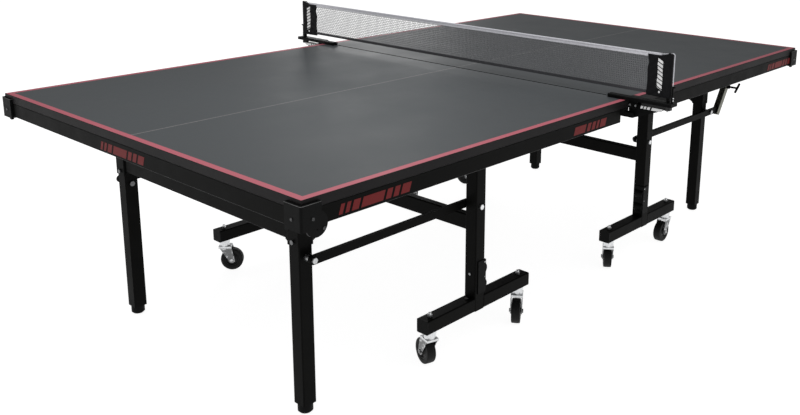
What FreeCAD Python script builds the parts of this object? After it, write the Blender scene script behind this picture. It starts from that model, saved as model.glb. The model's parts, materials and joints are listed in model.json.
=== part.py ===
"""Folding ping pong table: two rolling halves with a net between them.

Millimetres, +Z up. The origin is on the floor, under the middle of the net.
X runs along the table, and Y across it. Half A is at -X and half B at +X.
Half B is drawn, and half A is its mirror image unless a function says otherwise.
Every function returns one piece, or a group of like pieces, in its place.
"""
import FreeCAD
import Part
import math
import os

V = FreeCAD.Vector
X_AXIS = V(1, 0, 0)
Y_AXIS = V(0, 1, 0)
Z_AXIS = V(0, 0, 1)
ORIGIN = V(0, 0, 0)

# ---- playing surface ----
TABLE_LENGTH = 2740.0
TABLE_WIDTH = 1525.0
TABLE_HEIGHT = 760.0
TOP_THICKNESS = 25.0
TOP_EDGE_ROUND = 1.2
HALVES_GAP = 8.0

# ---- steel apron under the edges ----
APRON_HEIGHT = 45.0
APRON_SEAM = 1.0
APRON_DEPTH = 22.0
APRON_WALL = 1.6
APRON_ROUND = 2.0
APRON_NET_SETBACK = 50.0

# ---- corner caps ----
CAP_LENGTH = 52.0
CAP_PROUD = 8.0
CAP_TOP_DROP = 11.0
CAP_FLOOR = 4.0
CAP_ROUND = 6.0
CAP_LUG_LENGTH = 12.0
CAP_LUG_DROP = 4.0
EAR_RADIUS = 32.0
EAR_THICKNESS = 6.0
EAR_INSET = 39.0
EAR_DROP = 25.0
EAR_BOLT_OFFSET = 20.0
CAP_SCREW_RADIUS = 4.0
CAP_SCREW_HEAD = 1.6

# ---- shared steel tube and hardware ----
TUBE = 45.0
TUBE_WALL = 2.0
TUBE_ROUND = 4.0
HINGE_PIN_RADIUS = 6.0
LINK_PIN_RADIUS = 5.0
RUNNING_CLEARANCE = 0.06
BOLT_HEAD_RADIUS = 9.0
BOLT_HEAD_HEIGHT = 5.0
SMALL_BOLT_RADIUS = 6.3
MOVING_GAP = 1.5
WASHER_GAP = 0.75
PIN_END = 1.0
SCREW_RADIUS = 4.5
SCREW_HEAD = 2.5
CUT_OVERRUN = 1.0

# ---- hinge brackets under the tops ----
BRACKET_PLATE = 4.0
BRACKET_LENGTH = 56.0
BRACKET_EAR = 22.0
BRACKET_BASE = 3.0
BRACKET_LIP = 18.0
BRACKET_SCREW_SPACING = 34.0
HINGE_HEADROOM = 6.5

# ---- end leg frame ----
LEG_INSET = 240.0
LEG_Y = 450.0
LEG_BOTTOM = 27.5
SLEEVE_WALL = 3.0
SLEEVE_DROP = 200.0
LEG_TUBE_DROP = 110.0
RAIL_DROP = 188.0
RAIL_HEIGHT = 45.0
RAIL_DEPTH = 40.0
GUSSET_LENGTH = 14.0
GUSSET_DROP = 9.3
LEG_PLUG_HEIGHT = 16.0
FOOT_HEIGHT = 27.0
FOOT_RADIUS = 22.0
FOOT_CHAMFER = 5.0
FOOT_STEM_TOP = 60.0
SLEEVE_BOLT_RISE = 12.0
SLEEVE_BOLT_RADIUS = 7.2

# ---- folding struts ----
LINK_DROP = 232.0
STRUT_HEIGHT = 25.0
STRUT_THICKNESS = 12.0
STRUT_LEG_GAP = 13.0
STRUT_POST_GAP = 8.5
STRUT_LUG = 62.0

# ---- castors ----
CASTOR_INSET = 33.5
CASTOR_TRAIL = 26.0
WHEEL_RADIUS = 42.0
WHEEL_WIDTH = 30.0
WHEEL_TREAD = 20.0
WHEEL_SHOULDER = 6.0
WHEEL_RIM = 5.0
WHEEL_HUB_RADIUS = 13.0
WHEEL_HUB_PROUD = 1.5
WHEEL_DISH_DEPTH = 4.0
AXLE_RADIUS = 4.0
AXLE_HEAD_RADIUS = 7.0
AXLE_HEAD = 4.0
FORK_SIDE_GAP = 1.0
FORK_PLATE = 2.5
FORK_WHEEL_GAP = 5.0
FORK_CROWN = 7.0
FORK_CROWN_BACK = 21.0
FORK_LEG_RADIUS = 12.0
FORK_RACE_HEIGHT = 14.5
FORK_RACE_RADIUS = 19.0
RACE_RADIUS = 20.0
RACE_HEIGHT = 9.0
RACE_GAP = 0.5
STEM_RADIUS = 5.0
NUT_RADIUS = 8.5
NUT_HEIGHT = 7.0
STUD_RISE = 6.0

# ---- T frames ----
BAR_REACH_IN = 258.0
BAR_REACH_OUT = 240.0
BAR_CAP = 4.0
FOLD_FLOOR_GAP = 31.0
POST_HEAD_FLAT = 5.0
STRETCHER_DROP = 315.0
STRETCHER_HEIGHT = 50.0
STRETCHER_DEPTH = 30.0
BUFFER_TOP_GAP = 0.5
BUFFER_PLATE = 3.0
BUFFER_WRAP = 34.0
BUFFER_LIFT = 13.0
BUFFER_HEIGHT = 110.0
BUFFER_WIDTH = 36.0
BUFFER_KNOB_HEIGHT = 36.0
BUFFER_KNOB_RISES = (25.0, 79.0)
BUFFER_SCREW_RISES = (52.0, 102.0)
BUFFER_SCREW_RADIUS = 2.2
BUFFER_SCREW_HEAD = 1.2
FRAME_BOLT_RISE = 79.0
FRAME_BOLT_OFFSET = 38.0

# ---- safety stay of half B, near side ----
STAY_TOP_BEYOND_LEG = 188.0
STAY_FOOT_BEYOND_LEG = 67.0
STAY_TOP_DROP = 87.0
STAY_FOOT_DROP = 6.0
STAY_WIDTH = 26.0
STAY_DEPTH = 24.0
STAY_WALL = 2.0
STAY_END = 14.0
STAY_PIN_RADIUS = 4.0
HANDLE_FROM_TOP = 55.0
HANDLE_REACH = 47.0
HANDLE_ROD_RADIUS = 4.5
HANDLE_COLLAR_RADIUS = 9.0
HANDLE_COLLAR = 10.0
HANDLE_GRIP_LENGTH = 46.0
HANDLE_GRIP_RADIUS = 5.0
HANDLE_GRIP_TILT = 40.0
HANDLE_TRAVEL_GAP = 0.4

# ---- net set; a reach is measured outwards from the table's long edge ----
NET_HEIGHT = 167.5
NET_MESH_THICKNESS = 1.6
NET_BOTTOM_RISE = 31.0
NET_POST_REACH = 140.5
NET_POST_RADIUS = 6.0
NET_POST_ABOVE_TAPE = 3.0
NET_CAP_RADIUS = 8.0
NET_CAP_HEIGHT = 8.0
TAPE_HEIGHT = 15.0
TAPE_THICKNESS = 4.0
TAPE_TAIL = 50.0
TAPE_TAIL_GAP = 0.2
HEM_HEIGHT = 10.0
HEM_THICKNESS = 3.0
SLEEVE_INNER_REACH = 59.5
SLEEVE_OUTER_REACH = 150.0
SLEEVE_THICKNESS = 18.0
SLEEVE_ROUND = 6.0
SLEEVE_LIFT = 13.0
SLEEVE_TOP_DROP = 7.5
SLEEVE_POST_GAP = 0.5
JAW_GRIP = 70.5
JAW_REACH = 165.5
JAW_HEIGHT = 12.0
JAW_LIFT = 1.0
JAW_FRONT = 24.0
JAW_NET_SIDE = 3.0
JAW_BACK = 15.0
JAW_ROUND = 4.0
JAW_GROOVE_X = -11.0
JAW_GROOVE_WIDTH = 5.0
JAW_GROOVE_DEPTH = 2.0
CLAMP_EAR = 3.0
CLAMP_EAR_DROP = 26.0
CLAMP_EAR_REACH = 4.5
CLAMP_EAR_LENGTH = 33.0
RIVET_RADIUS = 3.5
RIVET_HEAD = 1.2
RIVET_REACHES = (11.5, 32.0)
RIVET_DROP = 15.0
LEVER_PIVOT_REACH = 21.5
LEVER_PIVOT_DROP = 19.0
LEVER_PIN_RADIUS = 3.0
LEVER_HALF_WIDTH = 11.0
LEVER_REACH = 123.5
LEVER_TOP_DROP = 10.0
LEVER_HEEL_REACH = 29.5
LEVER_BOTTOM_DROP = 55.0
LEVER_TIP_DEPTH = 9.0
LEVER_ARM_DROP = 39.0
LEVER_PAD_GRIP = 58.5
LEVER_PAD_LENGTH = 58.0
LEVER_GAP = 0.4
KNOB_RADIUS = 11.0
KNOB_HEIGHT = 13.0
KNOB_GAP = 2.0
KNOB_LOBES = 6
KNOB_LOBE_RADIUS = 3.0
KNOB_STEM_RADIUS = 3.0
KNOB_STEM_TIP = 6.0
KNOB_STEM_CLEARANCE = 1.0
CORD_RADIUS = 1.6
CORD_OFFSET = 4.5
CORD_CORNER_RISE = 3.5
CORD_START_DROP = 3.5
CORD_BEND_RADIUS = 5.0
CORD_SLOT_DEPTH = 5.5
CORD_SLOT_GAP = 0.3
CORD_GUIDE_HEIGHT = 53.0
CORD_GUIDE_RADIUS = 3.0
CORD_HOOK_REACH = 9.0
CORD_HOOK_WIDTH = 5.0
CORD_HOOK_HEIGHT = 5.0
POST_SCREW_RADIUS = 2.5
POST_SCREW_RISES = (6.0, 14.0)

# ---- derived levels and positions ----
HALF_LENGTH = TABLE_LENGTH / 2
HALF_WIDTH = TABLE_WIDTH / 2
HALF_TUBE = TUBE / 2
SLEEVE = TUBE + 2 * SLEEVE_WALL
HALF_SLEEVE = SLEEVE / 2
TOP_BOTTOM = TABLE_HEIGHT - TOP_THICKNESS
HINGE_DROP = BRACKET_BASE + HINGE_HEADROOM + HALF_SLEEVE
HINGE_Z = TOP_BOTTOM - HINGE_DROP
APRON_TOP = TOP_BOTTOM - APRON_SEAM
APRON_BOTTOM = APRON_TOP - APRON_HEIGHT
LINK_Z = HINGE_Z - LINK_DROP
LEG_X = HALF_LENGTH - LEG_INSET
SLEEVE_BOTTOM = HINGE_Z - SLEEVE_DROP
LEG_TUBE_TOP = HINGE_Z - LEG_TUBE_DROP
RAIL_BOTTOM = HINGE_Z - RAIL_DROP
STRUT_Y = LEG_Y + HALF_SLEEVE + MOVING_GAP + BRACKET_PLATE + STRUT_LEG_GAP + STRUT_THICKNESS / 2
POST_Y = STRUT_Y + STRUT_THICKNESS / 2 + STRUT_POST_GAP + HALF_TUBE
WHEEL_DISH_RADIUS = WHEEL_RADIUS - WHEEL_SHOULDER - WHEEL_RIM
WHEEL_HUB_WIDTH = WHEEL_WIDTH + 2 * WHEEL_HUB_PROUD
FORK_GAP = WHEEL_HUB_WIDTH + 2 * FORK_SIDE_GAP
FORK_CROWN_BOTTOM = 2 * WHEEL_RADIUS + FORK_WHEEL_GAP
FORK_CROWN_TOP = FORK_CROWN_BOTTOM + FORK_CROWN
BAR_BOTTOM = FORK_CROWN_TOP + FORK_RACE_HEIGHT + RACE_GAP + RACE_HEIGHT
BAR_TOP = BAR_BOTTOM + TUBE
POST_X = HINGE_Z - BAR_TOP - FOLD_FLOOR_GAP + HALVES_GAP / 2
BAR_INNER_X = POST_X - BAR_REACH_IN
BAR_OUTER_X = POST_X + BAR_REACH_OUT
CASTOR_INNER_X = BAR_INNER_X + CASTOR_INSET
CASTOR_OUTER_X = BAR_OUTER_X - CASTOR_INSET
POST_HEAD_ROUND = HALF_TUBE - POST_HEAD_FLAT / 2
STRETCHER_Z = HINGE_Z - STRETCHER_DROP
BUFFER_REACH = HINGE_DROP - HALF_TUBE - BUFFER_TOP_GAP
BUFFER_BOTTOM = BAR_TOP + BUFFER_LIFT
STAY_TOP = V(LEG_X + STAY_TOP_BEYOND_LEG, -STRUT_Y, TOP_BOTTOM - STAY_TOP_DROP)
STAY_FOOT = V(LEG_X + STAY_FOOT_BEYOND_LEG, -STRUT_Y, LINK_Z - STAY_FOOT_DROP)
NET_TOP = TABLE_HEIGHT + NET_HEIGHT
NET_POST_Y = HALF_WIDTH + NET_POST_REACH
NET_POST_TOP = NET_TOP + NET_POST_ABOVE_TAPE
SLEEVE_INNER_Y = HALF_WIDTH + SLEEVE_INNER_REACH
SLEEVE_OUTER_Y = HALF_WIDTH + SLEEVE_OUTER_REACH
JAW_INNER_Y = HALF_WIDTH - JAW_GRIP
JAW_OUTER_Y = HALF_WIDTH + JAW_REACH
JAW_BOTTOM = TABLE_HEIGHT + JAW_LIFT
JAW_TOP = JAW_BOTTOM + JAW_HEIGHT
CLAMP_EAR_INNER_Y = HALF_WIDTH + CLAMP_EAR_REACH
LEVER_PIVOT_Y = HALF_WIDTH + LEVER_PIVOT_REACH
LEVER_PIVOT_Z = TABLE_HEIGHT - LEVER_PIVOT_DROP
LEVER_BOTTOM_Z = TABLE_HEIGHT - LEVER_BOTTOM_DROP
LEVER_PAD_Y = HALF_WIDTH - LEVER_PAD_GRIP
CORD_Y = SLEEVE_OUTER_Y + CORD_OFFSET
SLEEVE_TOP = NET_TOP - SLEEVE_TOP_DROP
TAPE_TAIL_Y = SLEEVE_INNER_Y + TAPE_TAIL
GUIDE_TOP = JAW_TOP + CORD_GUIDE_HEIGHT

# castor name: (stem x, side of the table, heading of the trailing wheel in degrees)
CASTORS = {
    "a1": (-CASTOR_INNER_X, -1, 214.0),
    "a2": (-CASTOR_OUTER_X, -1, 72.0),
    "a3": (-CASTOR_INNER_X, 1, 200.0),
    "a4": (-CASTOR_OUTER_X, 1, 316.0),
    "b1": (CASTOR_INNER_X, -1, 36.0),
    "b2": (CASTOR_OUTER_X, -1, 182.0),
    "b3": (CASTOR_INNER_X, 1, 20.0),
    "b4": (CASTOR_OUTER_X, 1, 150.0),
}
SIDES = (-1, 1)
HEXAGON_CORNERS = 6
PARALLEL = 0.999


# ---- drawing helpers ----
def box(x0, x1, y0, y1, z0, z1):
    """Box between two corners, in any order."""
    low = V(min(x0, x1), min(y0, y1), min(z0, z1))
    return Part.makeBox(abs(x1 - x0), abs(y1 - y0), abs(z1 - z0), low)


def rod(radius, start, end):
    """Round rod between two points."""
    along = end - start
    return Part.makeCylinder(radius, along.Length, start, along)


def cross_rod(radius, x, y, z, reach):
    """Round rod along Y through a point, reaching equally far to both sides of it."""
    return rod(radius, V(x, y - reach, z), V(x, y + reach, z))


def hexagon(radius, height, base, direction):
    """Hexagonal bolt head or nut standing on base."""
    points = []
    for corner in range(HEXAGON_CORNERS + 1):
        angle = 2 * math.pi * corner / HEXAGON_CORNERS
        points.append(V(radius * math.cos(angle), radius * math.sin(angle), 0))
    prism = Part.Face(Part.makePolygon(points)).extrude(V(0, 0, height))
    prism.Placement = FreeCAD.Placement(base, FreeCAD.Rotation(Z_AXIS, direction))
    return prism


def profile(points, direction):
    """Flat closed outline pushed along a direction."""
    wire = Part.makePolygon(list(points) + [points[0]])
    return Part.Face(wire).extrude(direction)


def rounded(shape, radius, axis):
    """Round the long edges that run along an axis."""
    edges = []
    for edge in shape.Edges:
        if isinstance(edge.Curve, Part.Line):
            along = (edge.Vertexes[-1].Point - edge.Vertexes[0].Point).normalize()
            if abs(along.dot(axis)) > PARALLEL:
                edges.append(edge)
    return shape.makeFillet(radius, edges)


def square_tube(x0, x1, y0, y1, z0, z1, axis, wall, corner):
    """Hollow square tube along an axis, open at both ends."""
    outer = rounded(box(x0, x1, y0, y1, z0, z1), corner, axis)
    inset = V(wall, wall, wall) - axis * wall
    low = V(x0, y0, z0) + inset - axis * wall
    high = V(x1, y1, z1) - inset + axis * wall
    return outer.cut(box(low.x, high.x, low.y, high.y, low.z, high.z))


def mirrored(shape):
    """Half B's piece turned into half A's."""
    return shape.mirror(ORIGIN, X_AXIS)


def group(shapes):
    """Separate solids kept side by side in one node."""
    return Part.makeCompound(shapes)


def on_both_sides(make):
    """One piece at each long side of the table."""
    return [make(side) for side in SIDES]


# ---- tops and aprons ----
def make_top():
    """Playing board of half B."""
    board = box(HALVES_GAP / 2, HALF_LENGTH, -HALF_WIDTH, HALF_WIDTH, TOP_BOTTOM, TABLE_HEIGHT)
    upper = [edge for edge in board.Edges if edge.BoundBox.ZMin > TABLE_HEIGHT - TOP_EDGE_ROUND]
    return board.makeFillet(TOP_EDGE_ROUND, upper)


def make_apron():
    """Two side rails and the end rail of half B, and the screws that hold them to the board."""
    end_x = HALF_LENGTH - APRON_DEPTH
    rails = [square_tube(end_x, HALF_LENGTH, -HALF_WIDTH, HALF_WIDTH,
                         APRON_BOTTOM, APRON_TOP, Y_AXIS, APRON_WALL, APRON_ROUND)]
    screws = []
    for y in (-LEG_Y, 0, LEG_Y):
        x = HALF_LENGTH - APRON_DEPTH / 2
        screws.append(rod(SCREW_RADIUS, V(x, y, APRON_TOP), V(x, y, TOP_BOTTOM)))
    for side in SIDES:
        inner = side * (HALF_WIDTH - APRON_DEPTH)
        y0 = min(inner, side * HALF_WIDTH)
        rails.append(square_tube(APRON_NET_SETBACK, end_x, y0, y0 + APRON_DEPTH,
                                 APRON_BOTTOM, APRON_TOP, X_AXIS, APRON_WALL, APRON_ROUND))
        y = side * (HALF_WIDTH - APRON_DEPTH / 2)
        for x in (APRON_NET_SETBACK + APRON_DEPTH, HALF_LENGTH / 2, end_x - APRON_DEPTH):
            screws.append(rod(SCREW_RADIUS, V(x, y, APRON_TOP), V(x, y, TOP_BOTTOM)))
    return group(rails + screws)


def corner_cap(side, with_ear):
    """Plastic cap wrapped round one outer corner, with a floor under the apron."""
    reach_x = HALF_LENGTH + CAP_PROUD
    reach_y = HALF_WIDTH + CAP_PROUD
    start_x = HALF_LENGTH - CAP_LENGTH
    start_y = side * (HALF_WIDTH - CAP_LENGTH)
    cap_bottom = APRON_BOTTOM - CAP_FLOOR
    outer = box(start_x, reach_x, start_y, side * reach_y, cap_bottom, TABLE_HEIGHT - CAP_TOP_DROP)
    upright = []
    for edge in outer.Edges:
        middle = edge.BoundBox.Center
        if middle.x > HALF_LENGTH and abs(middle.y) > HALF_WIDTH:
            upright.append(edge)
    outer = outer.makeFillet(CAP_ROUND, upright)
    inside = box(0, HALF_LENGTH, -HALF_WIDTH, HALF_WIDTH, APRON_BOTTOM, TABLE_HEIGHT)
    cap = outer.cut(inside)
    side_lug = box(start_x, start_x + CAP_LUG_LENGTH, side * HALF_WIDTH, side * reach_y,
                   cap_bottom - CAP_LUG_DROP, cap_bottom)
    end_lug = box(HALF_LENGTH, reach_x, start_y, start_y + side * CAP_LUG_LENGTH,
                  cap_bottom - CAP_LUG_DROP, cap_bottom)
    cap = cap.fuse([side_lug, end_lug])
    if with_ear:
        centre = V(HALF_LENGTH - EAR_INSET, side * HALF_WIDTH, APRON_BOTTOM - EAR_DROP + EAR_RADIUS)
        cap = cap.fuse(rod(EAR_RADIUS, centre, centre + V(0, side * EAR_THICKNESS, 0)))
    return cap.removeSplitter()


def make_corner_caps(ear_side):
    """Both corner caps of half B; ear_side names the side whose cap has the round ear."""
    return group([corner_cap(side, side == ear_side) for side in SIDES])


# ---- hinge brackets under the top ----
def bracket(x, y, half_gap):
    """Folded steel bracket: base plate under the board and two rounded ears."""
    width = half_gap + BRACKET_PLATE
    base_z = TOP_BOTTOM - BRACKET_BASE
    solid = box(x - BRACKET_LENGTH / 2, x + BRACKET_LENGTH / 2,
                y - width - BRACKET_LIP, y + width + BRACKET_LIP, base_z, TOP_BOTTOM)
    for side in SIDES:
        inner = y + side * half_gap
        outer = inner + side * BRACKET_PLATE
        plate = profile([V(x - BRACKET_LENGTH / 2, inner, base_z),
                         V(x + BRACKET_LENGTH / 2, inner, base_z),
                         V(x + BRACKET_EAR, inner, HINGE_Z),
                         V(x - BRACKET_EAR, inner, HINGE_Z)], V(0, outer - inner, 0))
        disc = rod(BRACKET_EAR, V(x, inner, HINGE_Z), V(x, outer, HINGE_Z))
        solid = solid.fuse([plate, disc])
    return solid.cut(cross_rod(HINGE_PIN_RADIUS, x, y, HINGE_Z, width + CUT_OVERRUN)).removeSplitter()


def stay_bracket():
    """Plate under half B that carries the top of the safety stay, and its pin."""
    half = STAY_WIDTH / 2 + MOVING_GAP
    width = half + BRACKET_PLATE
    x, y, z = STAY_TOP.x, STAY_TOP.y, STAY_TOP.z
    base_z = TOP_BOTTOM - BRACKET_BASE
    solid = box(x - STAY_DEPTH, x + STAY_DEPTH, y - width, y + width, base_z, TOP_BOTTOM)
    for side in SIDES:
        inner = y + side * half
        outer = inner + side * BRACKET_PLATE
        plate = box(x - STAY_END, x + STAY_END, inner, outer, z, base_z)
        disc = rod(STAY_END, V(x, inner, z), V(x, outer, z))
        solid = solid.fuse([plate, disc])
    return solid.fuse(cross_rod(STAY_PIN_RADIUS, x, y, z, width)).removeSplitter()


def make_brackets(with_stay):
    """Post brackets and leg brackets of half B."""
    pieces = []
    for side in SIDES:
        pieces.append(bracket(POST_X, side * POST_Y, HALF_TUBE + MOVING_GAP))
        pieces.append(bracket(LEG_X, side * LEG_Y, HALF_SLEEVE + MOVING_GAP))
    if with_stay:
        pieces.append(stay_bracket())
    return group(pieces)


def hinge_hardware(x, y, side, half_gap):
    """Hinge pin and the four screws of one bracket."""
    edge = half_gap + MOVING_GAP + BRACKET_PLATE
    outer = V(x, side * (y + edge), HINGE_Z)
    pin = rod(HINGE_PIN_RADIUS, V(x, side * (y - edge), HINGE_Z), outer)
    pieces = [pin.fuse(hexagon(BOLT_HEAD_RADIUS, BOLT_HEAD_HEIGHT, outer, V(0, side, 0)))]
    for along in SIDES:
        for across in SIDES:
            top = V(x + along * BRACKET_SCREW_SPACING / 2, side * y + across * (edge + BRACKET_LIP / 2),
                    TOP_BOTTOM - BRACKET_BASE)
            pieces.append(rod(SCREW_RADIUS, top, top - V(0, 0, SCREW_HEAD)))
    return pieces


def make_board_fasteners(ear_side):
    """Hinge pins, bracket screws and corner cap screws of half B."""
    pieces = []
    cap_z = (APRON_BOTTOM + APRON_TOP) / 2
    inset = CAP_LENGTH / 2
    for side in SIDES:
        pieces.extend(hinge_hardware(POST_X, POST_Y, side, HALF_TUBE))
        pieces.extend(hinge_hardware(LEG_X, LEG_Y, side, HALF_SLEEVE))
        at = V(HALF_LENGTH - inset, side * (HALF_WIDTH + CAP_PROUD), cap_z)
        pieces.append(rod(CAP_SCREW_RADIUS, at, at + V(0, side * CAP_SCREW_HEAD, 0)))
        at = V(HALF_LENGTH + CAP_PROUD, side * (HALF_WIDTH - inset), cap_z)
        pieces.append(rod(CAP_SCREW_RADIUS, at, at + V(CAP_SCREW_HEAD, 0, 0)))
        if side == ear_side:
            at = V(HALF_LENGTH - EAR_INSET - EAR_BOLT_OFFSET, side * (HALF_WIDTH + EAR_THICKNESS),
                   APRON_BOTTOM - CAP_FLOOR - CAP_SCREW_RADIUS)
            pieces.append(rod(CAP_SCREW_RADIUS, at, at + V(0, side * CAP_SCREW_HEAD, 0)))
    return group(pieces)


# ---- T frames ----
def post(side):
    """Upright of a T frame with a rounded head, bored for its two pins."""
    y = side * POST_Y
    inner = HALF_TUBE - TUBE_WALL
    tube = square_tube(POST_X - HALF_TUBE, POST_X + HALF_TUBE, y - HALF_TUBE, y + HALF_TUBE,
                       BAR_BOTTOM, HINGE_Z, Z_AXIS, TUBE_WALL, TUBE_ROUND)
    head = box(POST_X - HALF_TUBE, POST_X + HALF_TUBE, y - HALF_TUBE, y + HALF_TUBE,
               HINGE_Z - HALF_TUBE, HINGE_Z + HALF_TUBE)
    head = rounded(head, POST_HEAD_ROUND, Y_AXIS)
    foot = box(POST_X - inner, POST_X + inner, y - inner, y + inner, BAR_BOTTOM, BAR_BOTTOM + BAR_CAP)
    solid = tube.fuse([head, foot])
    solid = solid.cut(cross_rod(HINGE_PIN_RADIUS + RUNNING_CLEARANCE, POST_X, y, HINGE_Z, TUBE))
    solid = solid.cut(cross_rod(LINK_PIN_RADIUS, POST_X, y, LINK_Z, TUBE))
    return solid.removeSplitter()


def make_posts():
    """Both T frame uprights of half B."""
    return group(on_both_sides(post))


def make_foot_bars():
    """Floor bars of half B: each is two tubes that butt against the upright."""
    pieces = []
    for side in SIDES:
        y = side * POST_Y
        for x0, x1, stem_x in ((BAR_INNER_X + BAR_CAP, POST_X - HALF_TUBE, CASTOR_INNER_X),
                               (POST_X + HALF_TUBE, BAR_OUTER_X - BAR_CAP, CASTOR_OUTER_X)):
            bar = square_tube(x0, x1, y - HALF_TUBE, y + HALF_TUBE, BAR_BOTTOM, BAR_TOP,
                              X_AXIS, TUBE_WALL, TUBE_ROUND)
            pieces.append(bar.cut(rod(STEM_RADIUS, V(stem_x, y, 0), V(stem_x, y, BAR_TOP + TUBE))))
    return group(pieces)


def make_stretcher():
    """Cross beam between the two T frames of half B."""
    half = POST_Y - HALF_TUBE
    return square_tube(POST_X - STRETCHER_DEPTH / 2, POST_X + STRETCHER_DEPTH / 2, -half, half,
                       STRETCHER_Z, STRETCHER_Z + STRETCHER_HEIGHT, Y_AXIS, TUBE_WALL, TUBE_ROUND)


def buffer(side):
    """Plastic clip on a post's net-side corner, with two round buffers for the folded top."""
    face_x = POST_X - HALF_TUBE
    face_y = side * (POST_Y + HALF_TUBE)
    inner_y = face_y - side * BUFFER_WIDTH
    clip_top = BUFFER_BOTTOM + BUFFER_HEIGHT
    plate = box(face_x - BUFFER_PLATE, face_x + BUFFER_WRAP, face_y, face_y + side * BUFFER_PLATE,
                BUFFER_BOTTOM, clip_top)
    solid = plate.fuse(box(face_x - BUFFER_PLATE, face_x, inner_y, face_y, BUFFER_BOTTOM, clip_top))
    half = BUFFER_KNOB_HEIGHT / 2
    radius = (half ** 2 + BUFFER_REACH ** 2) / (2 * BUFFER_REACH)
    centre_x = face_x - BUFFER_REACH + radius
    for rise in BUFFER_KNOB_RISES:
        z = BUFFER_BOTTOM + rise
        knob = rod(radius, V(centre_x, face_y, z), V(centre_x, inner_y, z))
        knob = knob.common(box(face_x - BUFFER_REACH, face_x, face_y, inner_y, z - half, z + half))
        solid = solid.fuse(knob)
    return solid.removeSplitter()


def make_frame_plastics():
    """Buffers on the posts and end caps on the floor bars of half B."""
    pieces = on_both_sides(buffer)
    for side in SIDES:
        y = side * POST_Y
        for x in (BAR_INNER_X, BAR_OUTER_X - BAR_CAP):
            cap = box(x, x + BAR_CAP, y - HALF_TUBE, y + HALF_TUBE, BAR_BOTTOM, BAR_TOP)
            pieces.append(rounded(cap, TUBE_ROUND, X_AXIS))
    return group(pieces)


def castor_stem(x, side):
    """Stem, nut and fixed upper race of one castor."""
    y = side * POST_Y
    stem = rod(STEM_RADIUS, V(x, y, FORK_CROWN_BOTTOM + RACE_GAP), V(x, y, BAR_TOP + NUT_HEIGHT + STUD_RISE))
    race = rod(RACE_RADIUS, V(x, y, BAR_BOTTOM - RACE_HEIGHT), V(x, y, BAR_BOTTOM))
    nut = hexagon(NUT_RADIUS, NUT_HEIGHT, V(x, y, BAR_TOP), Z_AXIS)
    return stem.fuse([race, nut]).removeSplitter()


def link_pin(x, side, inner_y, outer_y, spacer_start, spacer_end):
    """Headed pin at the struts' height with the spacer that keeps strut and tube apart."""
    inner = V(x, side * inner_y, LINK_Z)
    outer = V(x, side * outer_y, LINK_Z)
    spacer = rod(BOLT_HEAD_RADIUS, V(x, side * spacer_start, LINK_Z), V(x, side * spacer_end, LINK_Z))
    outer_head = hexagon(BOLT_HEAD_RADIUS, BOLT_HEAD_HEIGHT, outer, V(0, side, 0))
    inner_head = hexagon(BOLT_HEAD_RADIUS, BOLT_HEAD_HEIGHT, inner, V(0, -side, 0))
    return rod(LINK_PIN_RADIUS, inner, outer).fuse([spacer, outer_head, inner_head]).removeSplitter()


def make_frame_fasteners():
    """Castor stems, strut pins and frame bolts of half B."""
    strut_inner = STRUT_Y - STRUT_THICKNESS / 2
    strut_outer = STRUT_Y + STRUT_THICKNESS / 2
    pieces = []
    for side in SIDES:
        y = side * POST_Y
        pieces.append(castor_stem(CASTOR_INNER_X, side))
        pieces.append(castor_stem(CASTOR_OUTER_X, side))
        pieces.append(link_pin(POST_X, side, strut_inner - PIN_END, POST_Y + HALF_TUBE,
                               strut_outer + WASHER_GAP, POST_Y - HALF_TUBE))
        pieces.append(hexagon(SCREW_RADIUS, SCREW_HEAD,
                              V(POST_X + HALF_TUBE, y, BAR_TOP + FRAME_BOLT_RISE), X_AXIS))
        pieces.append(hexagon(SMALL_BOLT_RADIUS, SCREW_HEAD,
                              V(POST_X + FRAME_BOLT_OFFSET, y, BAR_TOP), Z_AXIS))
        for rise in BUFFER_SCREW_RISES:
            at = V(POST_X - HALF_TUBE + BUFFER_PLATE, side * (POST_Y + HALF_TUBE + BUFFER_PLATE),
                   BUFFER_BOTTOM + rise)
            pieces.append(rod(BUFFER_SCREW_RADIUS, at, at + V(0, side * BUFFER_SCREW_HEAD, 0)))
    return group(pieces)


# ---- castors ----
def in_place(shape, x, side, heading):
    """Turn a castor piece to its heading and set it under its stem."""
    shape.rotate(ORIGIN, Z_AXIS, heading)
    shape.translate(V(x, side * POST_Y, 0))
    return shape


def make_fork(castor):
    """Swivelling fork of one castor with its axle bolt."""
    x, side, heading = CASTORS[castor]
    half = FORK_GAP / 2
    wide = half + FORK_PLATE
    hub = V(CASTOR_TRAIL, 0, WHEEL_RADIUS)
    solid = box(-FORK_CROWN_BACK, CASTOR_TRAIL, -wide, wide, FORK_CROWN_BOTTOM, FORK_CROWN_TOP)
    crown = V(0, 0, FORK_CROWN_TOP)
    solid = solid.fuse(rod(FORK_RACE_RADIUS, crown, crown + V(0, 0, FORK_RACE_HEIGHT)))
    for hand in SIDES:
        inner = hand * half
        plate = profile([V(-FORK_CROWN_BACK, inner, FORK_CROWN_TOP), V(CASTOR_TRAIL, inner, FORK_CROWN_TOP),
                         V(CASTOR_TRAIL + FORK_LEG_RADIUS, inner, WHEEL_RADIUS),
                         V(CASTOR_TRAIL - FORK_LEG_RADIUS, inner, WHEEL_RADIUS)], V(0, hand * FORK_PLATE, 0))
        toe = rod(FORK_LEG_RADIUS, hub + V(0, inner, 0), hub + V(0, hand * wide, 0))
        head = hexagon(AXLE_HEAD_RADIUS, AXLE_HEAD, hub + V(0, hand * wide, 0), V(0, hand, 0))
        solid = solid.fuse([plate, toe, head])
    solid = solid.fuse(cross_rod(AXLE_RADIUS, hub.x, hub.y, hub.z, wide))
    solid = solid.cut(rod(STEM_RADIUS + RUNNING_CLEARANCE, V(0, 0, 0), V(0, 0, BAR_BOTTOM)))
    return in_place(solid.removeSplitter(), x, side, heading)


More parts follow.
